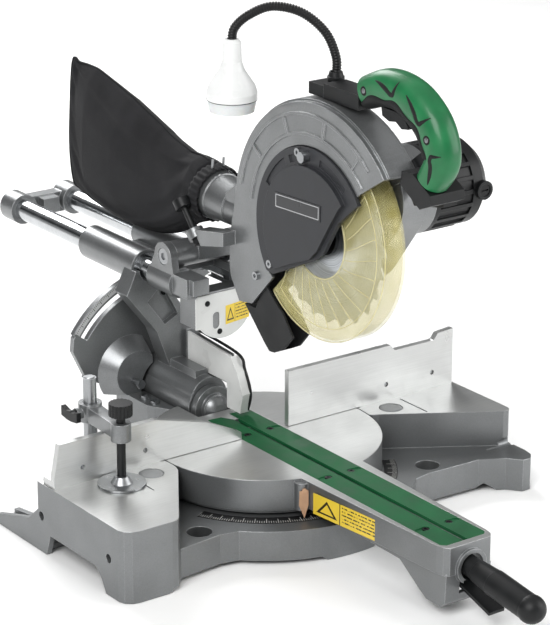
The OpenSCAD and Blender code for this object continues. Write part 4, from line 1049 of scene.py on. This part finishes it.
class SAW_OT_scales(bpy.types.Operator):
    """Mitre scale on the ledge, bevel scale on the quadrant, and the wing caps"""
    bl_idname = "saw.scales"
    bl_label = "Scales"

    def execute(self, context):
        black = printed_scale("anodised_black_scale", linear("#141415"), linear("#d8d8d4"), 1.0, 5.0, 0.1)
        self.band("mitre_scale", black, "base", self.on_ledge, 146.0, 162.5, 205, 335)
        bright = printed_scale("etched_bright_scale", linear("#c9caca"), linear("#1b1b1b"), 1.0, 5.0, 0.12)
        self.band("bevel_scale", bright, "turntable", self.on_quadrant, 142.0, 149.0, 94, 145)
        cap = moulded("die_cast_cap", "#8d8f90", 0.35)
        for name, x in (("left_wing_cap", -179), ("right_wing_cap", 179)):
            piece(
                name, *disc((x, -21, TILT_Z - 1.1), 14.4, 0.9, (0, 0, 1), 0.15), cap, "base",
                "painted_casting")
        return {"FINISHED"}

    def on_ledge(self, r, a, lift):
        """Points round the turntable's axis, level with the ledge's recess and raised by lift."""
        return np.stack([r * np.cos(a), r * np.sin(a), np.full_like(r, LEDGE_Z - 0.4) + lift], -1)

    def on_quadrant(self, r, a, lift):
        """Points round the bevel axis, on the quadrant's front face and raised by lift."""
        return np.stack([r * np.cos(a), np.full_like(r, QUAD_Y + 0.3) - lift, TILT_Z + r * np.sin(a)], -1)

    def band(self, name, mat, body, at, r0, r1, a0, a1):
        """Flat arc from angle a0 to a1 and radius r0 to r1, 0.9 mm thick, with the angle in degrees as u."""
        u, v = np.radians(np.linspace(a0, a1, 132)), np.linspace(r0, r1, 4)
        points, faces, grid = slab(u, v, lambda a, r: at(r, a, 0.9), lambda a, r: at(r, a, 0.0))
        uv = np.stack([np.degrees(grid[:, 0]), (grid[:, 1] - r0) / (r1 - r0)], -1)
        piece(
            name, points, faces, mat, body, "dark_casting", smooth=False, uv=np.vstack([uv, uv]),
            uv_name="scale")


class SAW_OT_edgings(bpy.types.Operator):
    """A dark strip along the chip shield's top and front edges, a painted shadow of its rim groove, and the
    dark joint ring of the lamp
    """
    bl_idname = "saw.edgings"
    bl_label = "Edgings"

    def execute(self, context):
        dark_strip = moulded("dark_joint_and_groove_shadow", "#1a1b1c", 0.55)
        # painted shadow: a near-black tube laid along the shield's rim where the groove's shade falls
        corners = [
            (21, -172, TILT_Z + 80), (21, -86, TILT_Z + 74), (21, -71, TILT_Z + 57),
            (21, -59, TILT_Z + 30), (21, -65, TILT_Z + 6)]
        path = smooth_path([(x, -y, z) for x, y, z in corners], 12)
        piece(
            "chip_shield_groove_shadow", *closed_tube(tube_points(path, 1.9, 1.9, (1, 0, 0), 10)), dark_strip,
            "tilt_bracket", "black_rubber")
        v = 2 * math.pi * np.arange(97) / 96
        ring = np.stack([-60 + 28.9 * np.cos(v), -18 + 28.9 * np.sin(v), np.full_like(v, 522.0)], -1)
        piece(
            "lamp_joint_ring", *closed_tube(tube_points(ring, 0.7, 0.7, (0, 0, 1), 8)), dark_strip, "head",
            "black_rubber")
        return {"FINISHED"}


class SAW_OT_plates(bpy.types.Operator):
    """Plain printed labels and the blank badge"""
    bl_idname = "saw.plates"
    bl_label = "Plates"

    def execute(self, context):
        vinyl = printed_label()
        self.plate(
            "arm_label", vinyl, "turntable", (-46.4, -161, 53), (-38.8, -281, 56), (0, 0, 26),
            (-1, 0.05, 0))
        self.plate("laser_label", vinyl, "carriage", (0, 82, 206), (35, 82, 209), (0, 0, 24), (0, -1, 0))
        screws = [disc((x, 82.1, z), 3.6, 1.1, (0, -1, 0), 0.2, 24) for x, z in ((-27, 238), (-9, 199))]
        piece(
            "laser_cover_screws", *join_rings(screws),
            bright_steel("black_oxide_screw", "#2e2f30", 0.35, 1.0, None), "carriage", "steel")
        badge = moulded("badge_polyamide", "#232427", 0.3, 1.0, 0.02, 0.3)
        self.plate(
            "cover_badge", badge, "head", (-31, -62, 398), (-31, -149, 402), (0, 0, 19), (-1, 0, 0), 0.8)
        rim = moulded("badge_rim", "#b9babc", 0.35)
        self.rim("cover_badge_rim", rim)
        return {"FINISHED"}

    def plate(self, name, mat, body, start, end, up, out, thick=0.35):
        """Flat plate spanned by start to end and by up, thick in the direction out."""
        start, end, up, out = (np.array(p, float) for p in (start, end, up, out))
        out = unit(out)

        def skin(lift):
            return lambda u, v: start + u[..., None] * (end - start) + v[..., None] * up + lift * out

        points, faces, grid = slab(np.linspace(0, 1, 12), np.linspace(0, 1, 5), skin(thick), skin(-0.3))
        piece(
            name, points, faces, mat, body, "charcoal_plastic", smooth=False, uv=np.vstack([grid, grid]),
            uv_name="label")

    def rim(self, name, mat):
        """Thin frame round the badge."""
        x = -31.8
        corners = np.array(
            [(x, -65, 400.4), (x, -146, 404.2), (x, -146, 418.6), (x, -65, 414.8), (x, -65, 400.4)])
        t = np.linspace(0, 4, 161)
        path = np.stack([np.interp(t, np.arange(5), corners[:, i]) for i in range(3)], 1)
        piece(name, *closed_tube(tube_points(path, 0.35, 0.5, (1, 0, 0), 8)), mat, "head", "charcoal_plastic")


class SAW_OT_studio(bpy.types.Operator):
    """Pale floor, soft lights and the camera"""
    bl_idname = "saw.studio"
    bl_label = "Studio"

    def execute(self, context):
        scene = context.scene
        look = scene.saw_studio
        scene.view_settings.view_transform = "Standard"
        self.floor()
        self.light("key", (-2.6, -1.6, 2.6), (0, 0, 0.3), 2.2, look.key)
        self.light("fill", (2.4, -2.2, 1.4), (0, 0, 0.3), 2.4, look.key * 0.55)
        self.light("rim", (0.4, 2.6, 2.2), (0, 0, 0.3), 1.8, look.key * 0.7)
        world = bpy.data.worlds.new("studio")
        scene.world = world
        world.use_nodes = True
        tree = world.node_tree
        tree.nodes.clear()
        up = add(
            tree, SEPARATE, {0: add(tree, "ShaderNodeTexCoord").outputs["Generated"]}).outputs[2]
        # pale at the horizon, a darker band above it for the metal to mirror, and white overhead
        band = add(
            tree, MIX,
            {0: add(tree, RANGE, span(up, 0.04, 0.22)), 6: linear("#eceded"), 7: linear("#3f4245")},
            data_type="RGBA")
        sky = add(
            tree, MIX, {0: add(tree, RANGE, span(up, 0.3, 0.85)), 6: band, 7: linear("#ffffff")},
            data_type="RGBA")
        glow = add(tree, "ShaderNodeBackground", {"Color": sky, "Strength": 0.56})
        add(tree, "ShaderNodeOutputWorld", {"Surface": glow.outputs[0]})
        self.camera(look.lens)
        return {"FINISHED"}

    def floor(self):
        """A level sheet, flat on a grid."""
        n = np.linspace(-60.0, 60.0, 7)
        x, y = np.meshgrid(n, n, indexing="ij")
        quads = grid_quads(7, 7)
        mesh = bpy.data.meshes.new("studio_floor")
        mesh.from_pydata(np.stack([x, y, 0 * x - 0.0005], -1).reshape(-1, 3).tolist(), [], quads.tolist())
        mat, tree, bsdf = material("matt_paper", Roughness=0.9)
        cloud = add(tree, NOISE, lumps(place(tree), 900, detail=1))
        shades = {0: cloud, 6: linear("#f7f7f6"), 7: linear("#fbfbfb")}
        feed(tree, bsdf, {"Base Color": add(tree, MIX, shades, data_type="RGBA")})
        mesh.materials.append(mat)
        floor = bpy.data.objects.new("studio_floor", mesh)
        bpy.context.scene.collection.objects.link(floor)

    def light(self, name, where, target, size, power):
        """A square soft light that faces a point."""
        data = bpy.data.lights.new(name, "AREA")
        data.shape = "SQUARE"
        data.size = size
        data.energy = power
        lamp = bpy.data.objects.new(name, data)
        lamp.location = where
        lamp.rotation_euler = (Vector(target) - Vector(where)).to_track_quat("-Z", "Y").to_euler()
        bpy.context.scene.collection.objects.link(lamp)

    def camera(self, lens):
        """Camera at the operator's left, a little above the saw."""
        data = bpy.data.cameras.new("camera")
        data.lens = lens
        data.clip_end = 50
        camera = bpy.data.objects.new("camera", data)
        right, up, back = (0.8085, -0.5885, 0.0028), (0.1948, 0.272, 0.9424), (-0.5553, -0.7614, 0.3346)
        turn = Matrix((right, up, back)).transposed().to_4x4()
        camera.matrix_world = Matrix.Translation((-1.7266, -2.3876, 1.2910)) @ turn
        bpy.context.scene.collection.objects.link(camera)
        bpy.context.scene.camera = camera


OPERATORS = (
    SAW_OT_castings, SAW_OT_metalwork, SAW_OT_mouldings, SAW_OT_dust_bag, SAW_OT_lamp_neck, SAW_OT_grip,
    SAW_OT_guard_ribs, SAW_OT_scales, SAW_OT_edgings, SAW_OT_plates, SAW_OT_studio)
GROUPS = {"saw_finishes": SawFinishes, "saw_bag": SawBag, "saw_trim": SawTrim, "saw_studio": SawStudio}


class SAW_PT_panel(bpy.types.Panel):
    """The saw's settings and its steps"""
    bl_label = "Mitre Saw"
    bl_idname = "SAW_PT_panel"
    bl_space_type = "VIEW_3D"
    bl_region_type = "UI"
    bl_category = "Mitre Saw"

    def draw(self, context):
        for name, group in GROUPS.items():
            box = self.layout.box()
            for key in group.__annotations__:
                box.prop(getattr(context.scene, name), key)
        for step in OPERATORS:
            self.layout.operator(step.bl_idname)


def register():
    for cls in (*GROUPS.values(), *OPERATORS, SAW_PT_panel):
        bpy.utils.register_class(cls)
    for name, group in GROUPS.items():
        setattr(bpy.types.Scene, name, bpy.props.PointerProperty(type=group))


def unregister():
    for name in GROUPS:
        delattr(bpy.types.Scene, name)
    for cls in (SAW_PT_panel, *reversed(OPERATORS), *reversed(GROUPS.values())):
        bpy.utils.unregister_class(cls)


def main():
    register()
    for step in OPERATORS:
        group, name = step.bl_idname.split(".")
        getattr(getattr(bpy.ops, group), name)()


if __name__ == "__main__":
    main()
